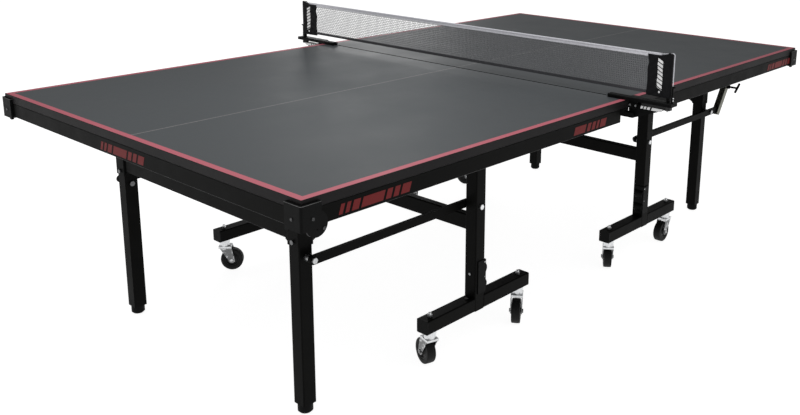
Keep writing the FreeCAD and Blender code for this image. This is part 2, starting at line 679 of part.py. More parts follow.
def make_wheel(castor):
    """Castor wheel: crowned tread, dished sides and a hub bored for the axle."""
    x, side, heading = CASTORS[castor]
    half = WHEEL_WIDTH / 2
    web = half - WHEEL_DISH_DEPTH
    half_profile = [(WHEEL_RADIUS, WHEEL_TREAD / 2), (WHEEL_RADIUS - WHEEL_SHOULDER, half),
                    (WHEEL_DISH_RADIUS, half), (WHEEL_DISH_RADIUS, web), (WHEEL_HUB_RADIUS, web),
                    (WHEEL_HUB_RADIUS, WHEEL_HUB_WIDTH / 2),
                    (AXLE_RADIUS + RUNNING_CLEARANCE, WHEEL_HUB_WIDTH / 2)]
    outline = [V(radius, y, 0) for radius, y in half_profile]
    outline.extend(V(radius, -y, 0) for radius, y in reversed(half_profile))
    face = Part.Face(Part.makePolygon(outline + [outline[0]]))
    wheel = face.revolve(ORIGIN, Y_AXIS, 360)
    wheel.translate(V(CASTOR_TRAIL, 0, WHEEL_RADIUS))
    return in_place(wheel, x, side, heading)


# ---- end leg frame ----
def make_leg_tubes():
    """Two leg tubes of half B, each with a bored plug at the foot."""
    pieces = []
    inner = HALF_TUBE - TUBE_WALL
    for side in SIDES:
        y = side * LEG_Y
        tube = square_tube(LEG_X - HALF_TUBE, LEG_X + HALF_TUBE, y - HALF_TUBE, y + HALF_TUBE,
                           LEG_BOTTOM, LEG_TUBE_TOP, Z_AXIS, TUBE_WALL, TUBE_ROUND)
        tube = tube.fuse(box(LEG_X - inner, LEG_X + inner, y - inner, y + inner,
                             LEG_BOTTOM, LEG_BOTTOM + LEG_PLUG_HEIGHT))
        tube = tube.cut(rod(STEM_RADIUS + RUNNING_CLEARANCE, V(LEG_X, y, 0), V(LEG_X, y, FOOT_STEM_TOP)))
        pieces.append(tube.cut(cross_rod(LINK_PIN_RADIUS, LEG_X, y, LINK_Z, TUBE)))
    return group(pieces)


def leg_sleeve(side):
    """Socket of the leg head over one leg tube, with its round hinge head."""
    y = side * LEG_Y
    sleeve = box(LEG_X - HALF_SLEEVE, LEG_X + HALF_SLEEVE, y - HALF_SLEEVE, y + HALF_SLEEVE,
                 SLEEVE_BOTTOM, HINGE_Z)
    sleeve = rounded(sleeve, TUBE_ROUND, Z_AXIS)
    sleeve = sleeve.fuse(cross_rod(HALF_SLEEVE, LEG_X, y, HINGE_Z, HALF_SLEEVE))
    sleeve = sleeve.cut(box(LEG_X - HALF_TUBE, LEG_X + HALF_TUBE, y - HALF_TUBE, y + HALF_TUBE,
                            SLEEVE_BOTTOM, LEG_TUBE_TOP))
    return sleeve.cut(cross_rod(HINGE_PIN_RADIUS + RUNNING_CLEARANCE, LEG_X, y, HINGE_Z, SLEEVE))


def make_leg_head():
    """Welded head of half B's leg frame: two sleeves, the rail between them and corner gussets."""
    rail_half = LEG_Y - HALF_SLEEVE
    half_depth = RAIL_DEPTH / 2
    rail_top = RAIL_BOTTOM + RAIL_HEIGHT
    rail = box(LEG_X - half_depth, LEG_X + half_depth, -rail_half, rail_half, RAIL_BOTTOM, rail_top)
    hollow = box(LEG_X - half_depth + TUBE_WALL, LEG_X + half_depth - TUBE_WALL,
                 TUBE_WALL - rail_half, rail_half - TUBE_WALL, RAIL_BOTTOM + TUBE_WALL, rail_top - TUBE_WALL)
    solid = rounded(rail, TUBE_ROUND, Y_AXIS).cut(hollow)
    for side in SIDES:
        weld = side * rail_half
        corner = V(LEG_X - half_depth, weld, RAIL_BOTTOM)
        gusset = profile([corner, corner - V(0, side * GUSSET_LENGTH, 0), corner - V(0, 0, GUSSET_DROP)],
                         V(RAIL_DEPTH, 0, 0))
        solid = solid.fuse([leg_sleeve(side), gusset])
    return solid.removeSplitter()


def make_leg_fasteners():
    """Strut pins, spacers and sleeve bolts of half B's leg frame."""
    pieces = []
    for side in SIDES:
        pieces.append(link_pin(LEG_X, side, LEG_Y - HALF_TUBE, STRUT_Y + STRUT_THICKNESS / 2 + WASHER_GAP,
                               LEG_Y + HALF_TUBE, STRUT_Y - STRUT_THICKNESS / 2 - WASHER_GAP))
        at = V(LEG_X + HALF_SLEEVE, side * LEG_Y, SLEEVE_BOTTOM + SLEEVE_BOLT_RISE)
        pieces.append(hexagon(SLEEVE_BOLT_RADIUS, BOLT_HEAD_HEIGHT, at, X_AXIS))
    return group(pieces)


def make_foot(side):
    """Screw-in levelling foot of half B."""
    y = side * LEG_Y
    pad = rod(FOOT_RADIUS, V(LEG_X, y, 0), V(LEG_X, y, FOOT_HEIGHT))
    pad = pad.makeChamfer(FOOT_CHAMFER, [edge for edge in pad.Edges if edge.BoundBox.ZMax < FOOT_CHAMFER])
    stem = rod(STEM_RADIUS, V(LEG_X, y, FOOT_HEIGHT), V(LEG_X, y, FOOT_STEM_TOP - PIN_END))
    return pad.fuse(stem).removeSplitter()


def make_struts(lug_side):
    """Both struts of half B; the one at lug_side reaches past the leg to the stay."""
    pieces = []
    half = STRUT_HEIGHT / 2
    for side in SIDES:
        y = side * STRUT_Y
        end = LEG_X
        if side == lug_side:
            end = LEG_X + STRUT_LUG
        bar = box(POST_X, end, y - STRUT_THICKNESS / 2, y + STRUT_THICKNESS / 2, LINK_Z - half, LINK_Z + half)
        bar = bar.fuse([cross_rod(half, POST_X, y, LINK_Z, STRUT_THICKNESS / 2),
                        cross_rod(half, end, y, LINK_Z, STRUT_THICKNESS / 2)])
        for x in (POST_X, LEG_X):
            bar = bar.cut(cross_rod(LINK_PIN_RADIUS + RUNNING_CLEARANCE, x, y, LINK_Z, STRUT_THICKNESS))
        pieces.append(bar.removeSplitter())
    return group(pieces)


# ---- safety stay ----
def handle_root():
    """Point on the stay's middle line where the pull handle's rod passes."""
    share = HANDLE_FROM_TOP / (STAY_TOP.x - STAY_FOOT.x)
    return STAY_TOP + (STAY_FOOT - STAY_TOP) * share


def make_stay_link():
    """Open steel channel that hangs from half B's top and hooks over the strut's end."""
    length = (STAY_TOP - STAY_FOOT).Length
    half = STAY_WIDTH / 2
    deep = STAY_DEPTH / 2
    channel = box(-deep, deep, -half, half, -STAY_END, length + STAY_END)
    channel = channel.cut(box(-STAY_DEPTH, deep - STAY_WALL, STAY_WALL - half, half - STAY_WALL,
                              -STAY_END - CUT_OVERRUN, length + STAY_END + CUT_OVERRUN))
    kept = box(-STAY_DEPTH, STAY_DEPTH, -half, half, -STAY_END, length)
    channel = channel.common(kept.fuse(cross_rod(STAY_END, 0, 0, length, half)))
    channel = channel.cut(cross_rod(STAY_PIN_RADIUS + RUNNING_CLEARANCE, 0, 0, length, STAY_WIDTH))
    channel.Placement = FreeCAD.Placement(STAY_FOOT, FreeCAD.Rotation(Z_AXIS, STAY_TOP - STAY_FOOT))
    at = handle_root()
    bore = cross_rod(HANDLE_ROD_RADIUS + RUNNING_CLEARANCE, at.x, at.y, at.z, STAY_WIDTH)
    return channel.cut(bore).removeSplitter()


def make_stay_handle():
    """Pull handle: rod through the stay, collar and cross grip."""
    at = handle_root()
    outside = at - V(0, STAY_WIDTH / 2, 0)
    tip = outside - V(0, HANDLE_REACH, 0)
    shaft = rod(HANDLE_ROD_RADIUS, at + V(0, STAY_WIDTH / 2 - STAY_WALL - PIN_END, 0), tip)
    collar_start = outside - V(0, HANDLE_TRAVEL_GAP, 0)
    collar = rod(HANDLE_COLLAR_RADIUS, collar_start, collar_start - V(0, HANDLE_COLLAR, 0))
    tilt = math.radians(HANDLE_GRIP_TILT)
    half = V(math.cos(tilt), 0, math.sin(tilt)) * (HANDLE_GRIP_LENGTH / 2)
    grip = rod(HANDLE_GRIP_RADIUS, tip - half, tip + half)
    ends = [Part.makeSphere(HANDLE_GRIP_RADIUS, tip - half), Part.makeSphere(HANDLE_GRIP_RADIUS, tip + half)]
    return shaft.fuse([collar, grip] + ends).removeSplitter()


# ---- net set, clamped to half A's edge ----
def jaw_bar(x1, y0, y1):
    """Length of the jaw bar from its front face to x1, with its two long upper edges rounded."""
    bar = box(-JAW_FRONT, x1, y0, y1, JAW_BOTTOM, JAW_TOP)
    edges = []
    for edge in bar.Edges:
        bounds = edge.BoundBox
        if bounds.ZMin > JAW_BOTTOM and bounds.YLength > bounds.XLength:
            edges.append(edge)
    return bar.makeFillet(JAW_ROUND, edges)


def clamp(side):
    """Fixed part of one net clamp: grooved jaw bar, ears for the lever, slotted post and cord hook."""
    ear_y = side * CLAMP_EAR_INNER_Y
    post_y = side * NET_POST_Y
    pad = box(-JAW_FRONT, -HALVES_GAP, side * JAW_INNER_Y, side * (HALF_WIDTH - JAW_LIFT),
              TABLE_HEIGHT, JAW_BOTTOM)
    solid = jaw_bar(JAW_NET_SIDE, side * JAW_INNER_Y, ear_y)
    solid = solid.fuse([jaw_bar(JAW_BACK, ear_y, side * JAW_OUTER_Y), pad])
    half_groove = JAW_GROOVE_WIDTH / 2
    solid = solid.cut(box(JAW_GROOVE_X - half_groove, JAW_GROOVE_X + half_groove,
                          0, side * (JAW_OUTER_Y + CUT_OVERRUN), JAW_TOP - JAW_GROOVE_DEPTH, JAW_TOP))
    reach = LEVER_HALF_WIDTH + LEVER_GAP + CLAMP_EAR
    for hand in SIDES:
        ear = box(hand * (reach - CLAMP_EAR), hand * reach, ear_y, ear_y + side * CLAMP_EAR_LENGTH,
                  JAW_BOTTOM - CLAMP_EAR_DROP, JAW_BOTTOM)
        solid = solid.fuse(ear)
    pivot_y = side * LEVER_PIVOT_Y
    pin = rod(LEVER_PIN_RADIUS, V(-reach, pivot_y, LEVER_PIVOT_Z), V(reach, pivot_y, LEVER_PIVOT_Z))
    upright = rod(NET_POST_RADIUS, V(0, post_y, JAW_TOP), V(0, post_y, NET_POST_TOP))
    cap = rod(NET_CAP_RADIUS, V(0, post_y, NET_POST_TOP - NET_CAP_HEIGHT), V(0, post_y, NET_POST_TOP))
    cord_y = side * CORD_Y
    guide = rod(CORD_GUIDE_RADIUS, V(0, cord_y, JAW_TOP), V(0, cord_y, GUIDE_TOP))
    hook = box(-CORD_HOOK_WIDTH / 2, CORD_HOOK_WIDTH / 2, cord_y, cord_y + side * CORD_HOOK_REACH,
               GUIDE_TOP - CORD_HOOK_HEIGHT, GUIDE_TOP)
    solid = solid.fuse([pin, upright, cap, guide, hook])
    half_slot = CORD_RADIUS + CORD_SLOT_GAP
    slot = box(-half_slot, half_slot, post_y - NET_CAP_RADIUS, post_y + NET_CAP_RADIUS,
               NET_POST_TOP - CORD_SLOT_DEPTH, NET_POST_TOP)
    bore_top = JAW_TOP - KNOB_STEM_CLEARANCE
    bore = rod(KNOB_STEM_RADIUS + RUNNING_CLEARANCE, V(0, post_y, 0), V(0, post_y, bore_top))
    return solid.cut([bore, slot]).removeSplitter()


def make_net_clamps():
    """Both net clamps with their posts."""
    return group(on_both_sides(clamp))


def make_net_rivets():
    """Bright rivets in the clamps' ears, and the two small screws behind each net post's foot."""
    pieces = []
    reach = LEVER_HALF_WIDTH + LEVER_GAP + CLAMP_EAR
    for side in SIDES:
        for rivet_reach in RIVET_REACHES:
            for hand in SIDES:
                at = V(hand * reach, side * (HALF_WIDTH + rivet_reach), TABLE_HEIGHT - RIVET_DROP)
                pieces.append(rod(RIVET_RADIUS, at, at + V(hand * RIVET_HEAD, 0, 0)))
        for rise in POST_SCREW_RISES:
            at = V(0, side * (CORD_Y + CORD_GUIDE_RADIUS), JAW_TOP + rise)
            pieces.append(rod(POST_SCREW_RADIUS, at, at + V(0, side * RIVET_HEAD, 0)))
    return group(pieces)


def make_lever(side):
    """Sprung clamp lever: handle plate outside the table and a padded arm under half A."""
    root_y = side * (CLAMP_EAR_INNER_Y + PIN_END)
    heel_y = side * (HALF_WIDTH + LEVER_HEEL_REACH)
    tip_y = side * (HALF_WIDTH + LEVER_REACH)
    top_z = TABLE_HEIGHT - LEVER_TOP_DROP
    arm_top = TABLE_HEIGHT - LEVER_ARM_DROP
    pad_y = side * LEVER_PAD_Y
    plate = profile([V(-LEVER_HALF_WIDTH, root_y, top_z),
                     V(-LEVER_HALF_WIDTH, tip_y, top_z),
                     V(-LEVER_HALF_WIDTH, tip_y, top_z - LEVER_TIP_DEPTH),
                     V(-LEVER_HALF_WIDTH, heel_y, LEVER_BOTTOM_Z),
                     V(-LEVER_HALF_WIDTH, root_y, LEVER_BOTTOM_Z)], V(2 * LEVER_HALF_WIDTH, 0, 0))
    arm = box(-JAW_FRONT, -JAW_NET_SIDE, pad_y, heel_y, LEVER_BOTTOM_Z, arm_top)
    pad = box(-JAW_FRONT, -JAW_NET_SIDE, pad_y, pad_y + side * LEVER_PAD_LENGTH,
              arm_top, TOP_BOTTOM - LEVER_GAP)
    solid = plate.fuse([arm, pad])
    start = V(-TUBE, side * LEVER_PIVOT_Y, LEVER_PIVOT_Z)
    bore = rod(LEVER_PIN_RADIUS + RUNNING_CLEARANCE, start, start + V(2 * TUBE, 0, 0))
    return solid.cut(bore).removeSplitter()


def make_tension_knob(side):
    """Lobed knob under a net post with its short screw, whose tip shows below the knob."""
    y = side * NET_POST_Y
    top = JAW_BOTTOM - KNOB_GAP
    bottom = top - KNOB_HEIGHT
    solid = rod(KNOB_RADIUS, V(0, y, bottom), V(0, y, top))
    for lobe in range(KNOB_LOBES):
        angle = 2 * math.pi * lobe / KNOB_LOBES
        at = V(KNOB_RADIUS * math.cos(angle), y + KNOB_RADIUS * math.sin(angle), bottom)
        solid = solid.fuse(rod(KNOB_LOBE_RADIUS, at, at + V(0, 0, KNOB_HEIGHT)))
    stem = rod(KNOB_STEM_RADIUS, V(0, y, bottom - KNOB_STEM_TIP), V(0, y, JAW_TOP - 2 * KNOB_STEM_CLEARANCE))
    return solid.fuse(stem).removeSplitter()


def make_net_mesh():
    """The net's mesh field as one thin sheet."""
    half = NET_MESH_THICKNESS / 2
    return box(-half, half, -SLEEVE_INNER_Y, SLEEVE_INNER_Y,
               TABLE_HEIGHT + NET_BOTTOM_RISE + HEM_HEIGHT, NET_TOP - TAPE_HEIGHT)


def make_net_tapes():
    """White top tape with the tail that lies on each sleeve, and the dark bottom hem of the net."""
    half = TAPE_THICKNESS / 2
    top = box(-half, half, -SLEEVE_INNER_Y, SLEEVE_INNER_Y, NET_TOP - TAPE_HEIGHT, NET_TOP)
    for side in SIDES:
        top = top.fuse(box(-half, half, side * SLEEVE_INNER_Y, side * TAPE_TAIL_Y,
                           SLEEVE_TOP + TAPE_TAIL_GAP, NET_TOP))
    low = TABLE_HEIGHT + NET_BOTTOM_RISE
    hem = box(-HEM_THICKNESS / 2, HEM_THICKNESS / 2, -SLEEVE_INNER_Y, SLEEVE_INNER_Y, low, low + HEM_HEIGHT)
    return group([top.removeSplitter(), hem])


def make_net_sleeves():
    """Fabric sleeves that pull over the net posts."""
    pieces = []
    for side in SIDES:
        sleeve = box(-SLEEVE_THICKNESS / 2, SLEEVE_THICKNESS / 2, side * SLEEVE_INNER_Y,
                     side * SLEEVE_OUTER_Y, JAW_TOP + SLEEVE_LIFT, SLEEVE_TOP)
        sleeve = rounded(sleeve, SLEEVE_ROUND, Z_AXIS)
        post_y = side * NET_POST_Y
        pieces.append(sleeve.cut(rod(NET_CAP_RADIUS + SLEEVE_POST_GAP, V(0, post_y, JAW_TOP),
                                     V(0, post_y, NET_POST_TOP))))
    return group(pieces)


def bent_tube(start, corner, end, bend, radius):
    """Round tube along two straight runs that a tangent arc of radius bend joins at their corner."""
    back = (start - corner).normalize()
    ahead = (end - corner).normalize()
    middle = (back + ahead).normalize()
    half_angle = back.getAngle(ahead) / 2
    setback = bend / math.tan(half_angle)
    leave = corner + back * setback
    meet = corner + ahead * setback
    crest = corner + middle * (bend / math.sin(half_angle) - bend)
    path = Part.Wire([Part.LineSegment(start, leave).toShape(), Part.Arc(leave, crest, meet).toShape(),
                      Part.LineSegment(meet, end).toShape()])
    section = Part.Wire(Part.makeCircle(radius, start, -back))
    return path.makePipeShell([section], True, False)


def make_net_cords():
    """White tension cords: out of the tape's tail, through the post's slot and down to the hook."""
    pieces = []
    for side in SIDES:
        start = V(0, side * (TAPE_TAIL_Y - CORD_RADIUS), NET_TOP - CORD_START_DROP)
        corner = V(0, side * CORD_Y, NET_TOP + CORD_CORNER_RISE)
        end = V(0, side * CORD_Y, GUIDE_TOP)
        cord = bent_tube(start, corner, end, CORD_BEND_RADIUS, CORD_RADIUS)
        inside_tail = box(-TAPE_THICKNESS, TAPE_THICKNESS, 0, side * TAPE_TAIL_Y, SLEEVE_TOP, NET_POST_TOP)
        pieces.append(cord.cut(inside_tail))
    return group(pieces)


# ---- nodes ----
def build_nodes():
    """Every node's name and shape."""
    nodes = {}
    pairs = {
        "posts": make_posts,
        "foot_bars": make_foot_bars,
        "stretcher": make_stretcher,
        "frame_plastics": make_frame_plastics,
        "frame_fasteners": make_frame_fasteners,
        "top": make_top,
        "apron": make_apron,
        "leg_tubes": make_leg_tubes,
        "leg_head": make_leg_head,
        "leg_fasteners": make_leg_fasteners,
    }
    for name, make in pairs.items():
        nodes[name + "_b"] = make()
        nodes[name + "_a"] = mirrored(make())
    nodes["corner_caps_a"] = mirrored(make_corner_caps(-1))
    nodes["corner_caps_b"] = make_corner_caps(0)
    nodes["brackets_a"] = mirrored(make_brackets(False))
    nodes["brackets_b"] = make_brackets(True)
    nodes["board_fasteners_a"] = mirrored(make_board_fasteners(-1))
    nodes["board_fasteners_b"] = make_board_fasteners(0)
    nodes["struts_a"] = mirrored(make_struts(0))
    nodes["struts_b"] = make_struts(-1)
    for number, side in enumerate(SIDES, 1):
        nodes["foot_b%d" % number] = make_foot(side)
        nodes["foot_a%d" % number] = mirrored(make_foot(side))
        nodes["clamp_lever_%d" % number] = make_lever(side)
        nodes["tension_knob_%d" % number] = make_tension_knob(side)
    for castor in CASTORS:
        nodes["castor_fork_" + castor] = make_fork(castor)
        nodes["castor_wheel_" + castor] = make_wheel(castor)
    nodes["stay_link"] = make_stay_link()
    nodes["stay_handle"] = make_stay_handle()
    nodes["net_clamps"] = make_net_clamps()
    nodes["net_rivets"] = make_net_rivets()
    nodes["net_mesh"] = make_net_mesh()
    nodes["net_tapes"] = make_net_tapes()
    nodes["net_sleeves"] = make_net_sleeves()
    nodes["net_cords"] = make_net_cords()
    return nodes


os.makedirs("parts", exist_ok=True)
for node, shape in build_nodes().items():
    shape.exportStep("parts/" + node + ".step")
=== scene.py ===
"""Finishes of the folding ping pong table, laid out as an add-on and run as a script.

Everything is in metres, in the frame of the packed table: +Z up, X along the table, Y across it,
and the origin on the floor under the middle of the net. The packed pieces keep their shapes and get
their finishes here. The net, its tapes, its sleeves and the castor wheels are made anew as surfaces.
"""
import json
import math

import bpy
import numpy as np
from bpy.props import FloatProperty, FloatVectorProperty, IntProperty, PointerProperty
from mathutils import Matrix, Vector

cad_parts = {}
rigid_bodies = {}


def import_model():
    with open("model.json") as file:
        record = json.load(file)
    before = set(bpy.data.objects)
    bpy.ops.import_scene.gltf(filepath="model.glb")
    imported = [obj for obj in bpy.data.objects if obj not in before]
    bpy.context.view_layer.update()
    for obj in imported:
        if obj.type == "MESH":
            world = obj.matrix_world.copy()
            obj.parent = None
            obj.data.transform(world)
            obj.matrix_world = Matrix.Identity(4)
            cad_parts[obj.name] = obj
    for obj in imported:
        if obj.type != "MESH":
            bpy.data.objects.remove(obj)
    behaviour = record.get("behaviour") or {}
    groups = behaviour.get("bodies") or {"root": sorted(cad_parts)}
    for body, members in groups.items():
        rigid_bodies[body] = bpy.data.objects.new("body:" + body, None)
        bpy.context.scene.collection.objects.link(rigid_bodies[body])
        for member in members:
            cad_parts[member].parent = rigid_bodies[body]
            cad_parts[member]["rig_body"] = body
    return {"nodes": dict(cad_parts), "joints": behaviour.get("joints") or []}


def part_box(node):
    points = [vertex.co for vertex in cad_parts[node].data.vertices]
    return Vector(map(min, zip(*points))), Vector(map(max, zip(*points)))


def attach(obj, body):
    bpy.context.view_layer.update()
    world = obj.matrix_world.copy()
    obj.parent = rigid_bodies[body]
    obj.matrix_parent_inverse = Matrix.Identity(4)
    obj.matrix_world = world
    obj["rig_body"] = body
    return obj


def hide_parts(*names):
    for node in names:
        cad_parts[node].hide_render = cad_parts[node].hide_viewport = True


bl_info = {
    "name": "Ping Pong Table Finishes",
    "version": (1, 0, 0),
    "blender": (4, 5, 0),
    "location": "View3D > Sidebar > Table",
    "description": "Paints, sews, decorates and lights a folding ping pong table",
    "category": "Object",
}

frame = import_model()
NODES = frame["nodes"]
JOINTS = {joint["name"]: joint for joint in frame["joints"]}
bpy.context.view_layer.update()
SIDES = (-1, 1)
TURN = 2 * math.pi


# ---- places read from the frame ----
TOP_LOW, TOP_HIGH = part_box("top_a")
APRON_LOW, APRON_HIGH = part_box("apron_a")
MESH_LOW, MESH_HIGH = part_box("net_mesh")
TAPE_LOW, TAPE_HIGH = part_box("net_tapes")
BAG_LOW, BAG_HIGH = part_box("net_sleeves")
LEVER_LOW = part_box("clamp_lever_1")[0]
BAR_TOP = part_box("foot_bars_a")[1].z
LEG_SLEEVE_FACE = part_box("leg_head_a")[1].y
CROWN_BELOW_RACE = 0.0145
FORK_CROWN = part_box("castor_fork_a1")[1].z - CROWN_BELOW_RACE
NUT_TOP = BAR_TOP + 0.0068
POST_BOLT_RISES = (0.060, 0.110)
UNDER_BAR_DROP = 0.02
HALF_LENGTH = -TOP_LOW.x
HALF_WIDTH = -TOP_LOW.y
TABLE_HEIGHT = TOP_HIGH.z


# ---- what a user may change ----
def tint(name, description, default):
    """A colour setting."""
    return FloatVectorProperty(name=name, description=description, subtype="COLOR", default=default,
                               min=0, max=1)


def length(name, description, default, least):
    """A length setting, in metres."""
    return FloatProperty(name=name, description=description, subtype="DISTANCE", default=default, min=least)


class BoardPaint(bpy.types.PropertyGroup):
    """Playing boards: paint, stripe and centre line."""

    charcoal: tint("Board colour", "Charcoal of the playing surface", (0.058, 0.064, 0.068))
    stripe: tint("Stripe colour", "Pink of the border stripe", (0.42, 0.105, 0.135))
    stripe_width: length("Stripe width", "Width of the border stripe", 0.020, 0.0)
    stripe_margin: length("Stripe margin", "Black margin outside the stripe", 0.0015, 0.0)
    line: tint("Centre line colour", "Grey of the centre line", (0.22, 0.21, 0.21))
    line_width: length("Centre line width", "Width of the centre line", 0.003, 0.0)


class FrameFinish(bpy.types.PropertyGroup):
    """Steel, plastic and plated parts."""

    steel: tint("Powder coat colour", "Black of the coated steel", (0.0028, 0.0028, 0.0026))
    plastic: tint("Plastic colour", "Black of the moulded parts", (0.0026, 0.0027, 0.0027))
    zinc: tint("Zinc colour", "Colour of bright plated steel", (0.72, 0.73, 0.74))
    # Grey painted as a highlight along the edges of the aprons and the corner caps.
    edge_highlight: tint("Edge highlight colour", "Grey of the painted highlight on edges", (0.13, 0.13, 0.13))
    galvanised: tint("Stay colour", "Colour of the galvanised stay", (0.20, 0.20, 0.17))
    rubber: tint("Tyre colour", "Black of the castor tyres", (0.0050, 0.0050, 0.0050))


class NetSet(bpy.types.PropertyGroup):
    """Net, tapes and sleeves."""

    strand: tint("Strand colour", "Grey of the net's strands", (0.16, 0.16, 0.17))
    pitch: length("Mesh pitch", "Distance between two strands", 0.0068, 0.003)
    strand_width: length("Strand width", "Thickness of a strand", 0.0017, 0.0003)
    tape: tint("Tape colour", "White of the top tape", (0.62, 0.62, 0.66))
    tape_height: length("Tape height", "Height of the top tape", 0.015, 0.004)
    hem: tint("Hem colour", "Dark grey of the bottom hem", (0.045, 0.045, 0.050))
    tail_height: length("Tail height", "Height of the tape's tail on a sleeve", 0.0073, 0.003)
    tape_cloth: length("Tape cloth", "Thickness of the tapes' cloth", 0.00045, 0.0002)
    hem_thickness: length("Hem thickness", "Thickness of the bottom hem", 0.003, 0.001)
    stitch: length("Stitch length", "Length of one stitch", 0.0045, 0.002)
    bag: tint("Sleeve colour", "Black of the post sleeves", (0.0045, 0.0045, 0.0055))
    bag_post: length("Sleeve roll", "Radius of the sleeve round its post", 0.0088, 0.007)
    cloth: length("Cloth thickness", "Thickness of the sleeve cloth", 0.0011, 0.0003)


class Marks(bpy.types.PropertyGroup):
    """Plain slanted bars that decorate the aprons, sleeves and clamps."""

    red: tint("Mark red", "Red of the bars on the aprons", (0.150, 0.012, 0.013))
    white: tint("Mark white", "White of the bars on the net set", (0.75, 0.75, 0.75))
    slant: FloatProperty(name="Slant", description="Lean of a bar as a share of its height",
                         default=0.35, min=0, max=1)
    film: length("Film thickness", "Thickness of the printed film", 0.00025, 0.0001)


class Studio(bpy.types.PropertyGroup):
    """Camera, lights and floor."""

    eye: FloatVectorProperty(name="Camera place", description="Where the camera stands",
                             subtype="TRANSLATION", default=(-2.5787, -2.2944, 1.4463))
    heading: FloatVectorProperty(name="Camera aim", description="Direction the camera looks in",
                                 subtype="DIRECTION", default=(0.72678, 0.64484, -0.23659))
    right: FloatVectorProperty(name="Camera right", description="Direction to the camera's right",
                               subtype="DIRECTION", default=(0.66555, -0.74628, 0.01050))
    lens: FloatProperty(name="Lens", description="Focal length for a 36 mm wide sensor",
                        default=41.356, min=10)
    shift: FloatVectorProperty(name="Lens shift", description="Shift of the lens as a share of the width",
                               size=2, default=(-0.07204, -0.12651))
    floor: tint("Floor colour", "Pale floor", (0.42, 0.42, 0.42))
    ambient: FloatProperty(name="Ambient light", description="Strength of the light from all round",
                           default=0.46, min=0)
    soft_box: FloatProperty(name="Overhead light", description="Power of the overhead soft box",
                            default=22.0, min=0)
    far_box: FloatProperty(name="Far light", description="Power of the soft box beyond the far side",
                           default=25.0, min=0)
    rounds: IntProperty(name="Facets round", description="Facets round a turned piece", default=96, min=16)


# ---- material building ----
def new_material(name):
    """A material with only its principled shader, as (material, tree, shader)."""
    material = bpy.data.materials.new(name)
    material.use_nodes = True
    return material, material.node_tree, material.node_tree.nodes["Principled BSDF"]


def node(tree, kind, inputs=None, **settings):
    """One shader node; an input that is a socket is linked, and any other is a value."""
    made = tree.nodes.new(kind)
    for name, value in settings.items():
        setattr(made, name, value)
    for key, value in (inputs or {}).items():
        if isinstance(value, bpy.types.NodeSocket):
            tree.links.new(value, made.inputs[key])
        else:
            made.inputs[key].default_value = value
    return made


def place(tree):
    """The piece's own coordinates, in metres."""
    return node(tree, "ShaderNodeTexCoord").outputs["Object"]


def noise(tree, vector, scale, detail=2.0, roughness=0.5):
    """Fractal noise with scale features to the metre."""
    made = node(tree, "ShaderNodeTexNoise", {"Vector": vector, "Scale": scale, "Detail": detail,
                                             "Roughness": roughness})
    return made.outputs["Fac"]


def arithmetic(tree, operation, first, second=0.0):
    """One sum, product or comparison."""
    return node(tree, "ShaderNodeMath", {0: first, 1: second}, operation=operation).outputs[0]


def times(tree, first, second):
    """Product of two values."""
    return arithmetic(tree, "MULTIPLY", first, second)


def above(tree, value, limit):
    """1 where the value is over the limit and else 0."""
    return arithmetic(tree, "GREATER_THAN", value, limit)


def below(tree, value, limit):
    """1 where the value is under the limit and else 0."""
    return arithmetic(tree, "LESS_THAN", value, limit)


def ranged(tree, value, low, high, to_low=0.0, to_high=1.0):
    """Value mapped from low..high to to_low..to_high, clamped."""
    made = node(tree, "ShaderNodeMapRange", {"Value": value, "From Min": low, "From Max": high,
                                             "To Min": to_low, "To Max": to_high})
    return made.outputs["Result"]


def blended(tree, share, first, second):
    """First colour where share is 0 and second where it is 1."""
    made = node(tree, "ShaderNodeMix", {0: share}, data_type="RGBA")
    for key, value in ((6, first), (7, second)):
        if isinstance(value, bpy.types.NodeSocket):
            tree.links.new(value, made.inputs[key])
        else:
            made.inputs[key].default_value = opaque(value)
    return made.outputs[2]


def opaque(colour):
    """Three channels with full alpha."""
    return (*colour, 1.0)


def shaded(colour, factor):
    """A colour made lighter or darker."""
    return tuple(min(1.0, channel * factor) for channel in colour)


def bumped(tree, shader, height, strength, distance):
    """Relief on the shader from a height."""
    made = node(tree, "ShaderNodeBump", {"Height": height, "Strength": strength, "Distance": distance})
    tree.links.new(made.outputs["Normal"], shader.inputs["Normal"])


def surfaced(tree, shader, colour, rough, level=None):
    """Link the shader's colour and roughness, and set its specular level where one is given."""
    tree.links.new(colour, shader.inputs["Base Color"])
    tree.links.new(rough, shader.inputs["Roughness"])
    if level is not None:
        shader.inputs["Specular IOR Level"].default_value = level


def separate(tree, vector):
    """X, Y and Z of a vector."""
    return node(tree, "ShaderNodeSeparateXYZ", {"Vector": vector}).outputs


def band(tree, value, low, high):
    """1 where low < value < high and else 0."""
    return times(tree, above(tree, value, low), below(tree, value, high))


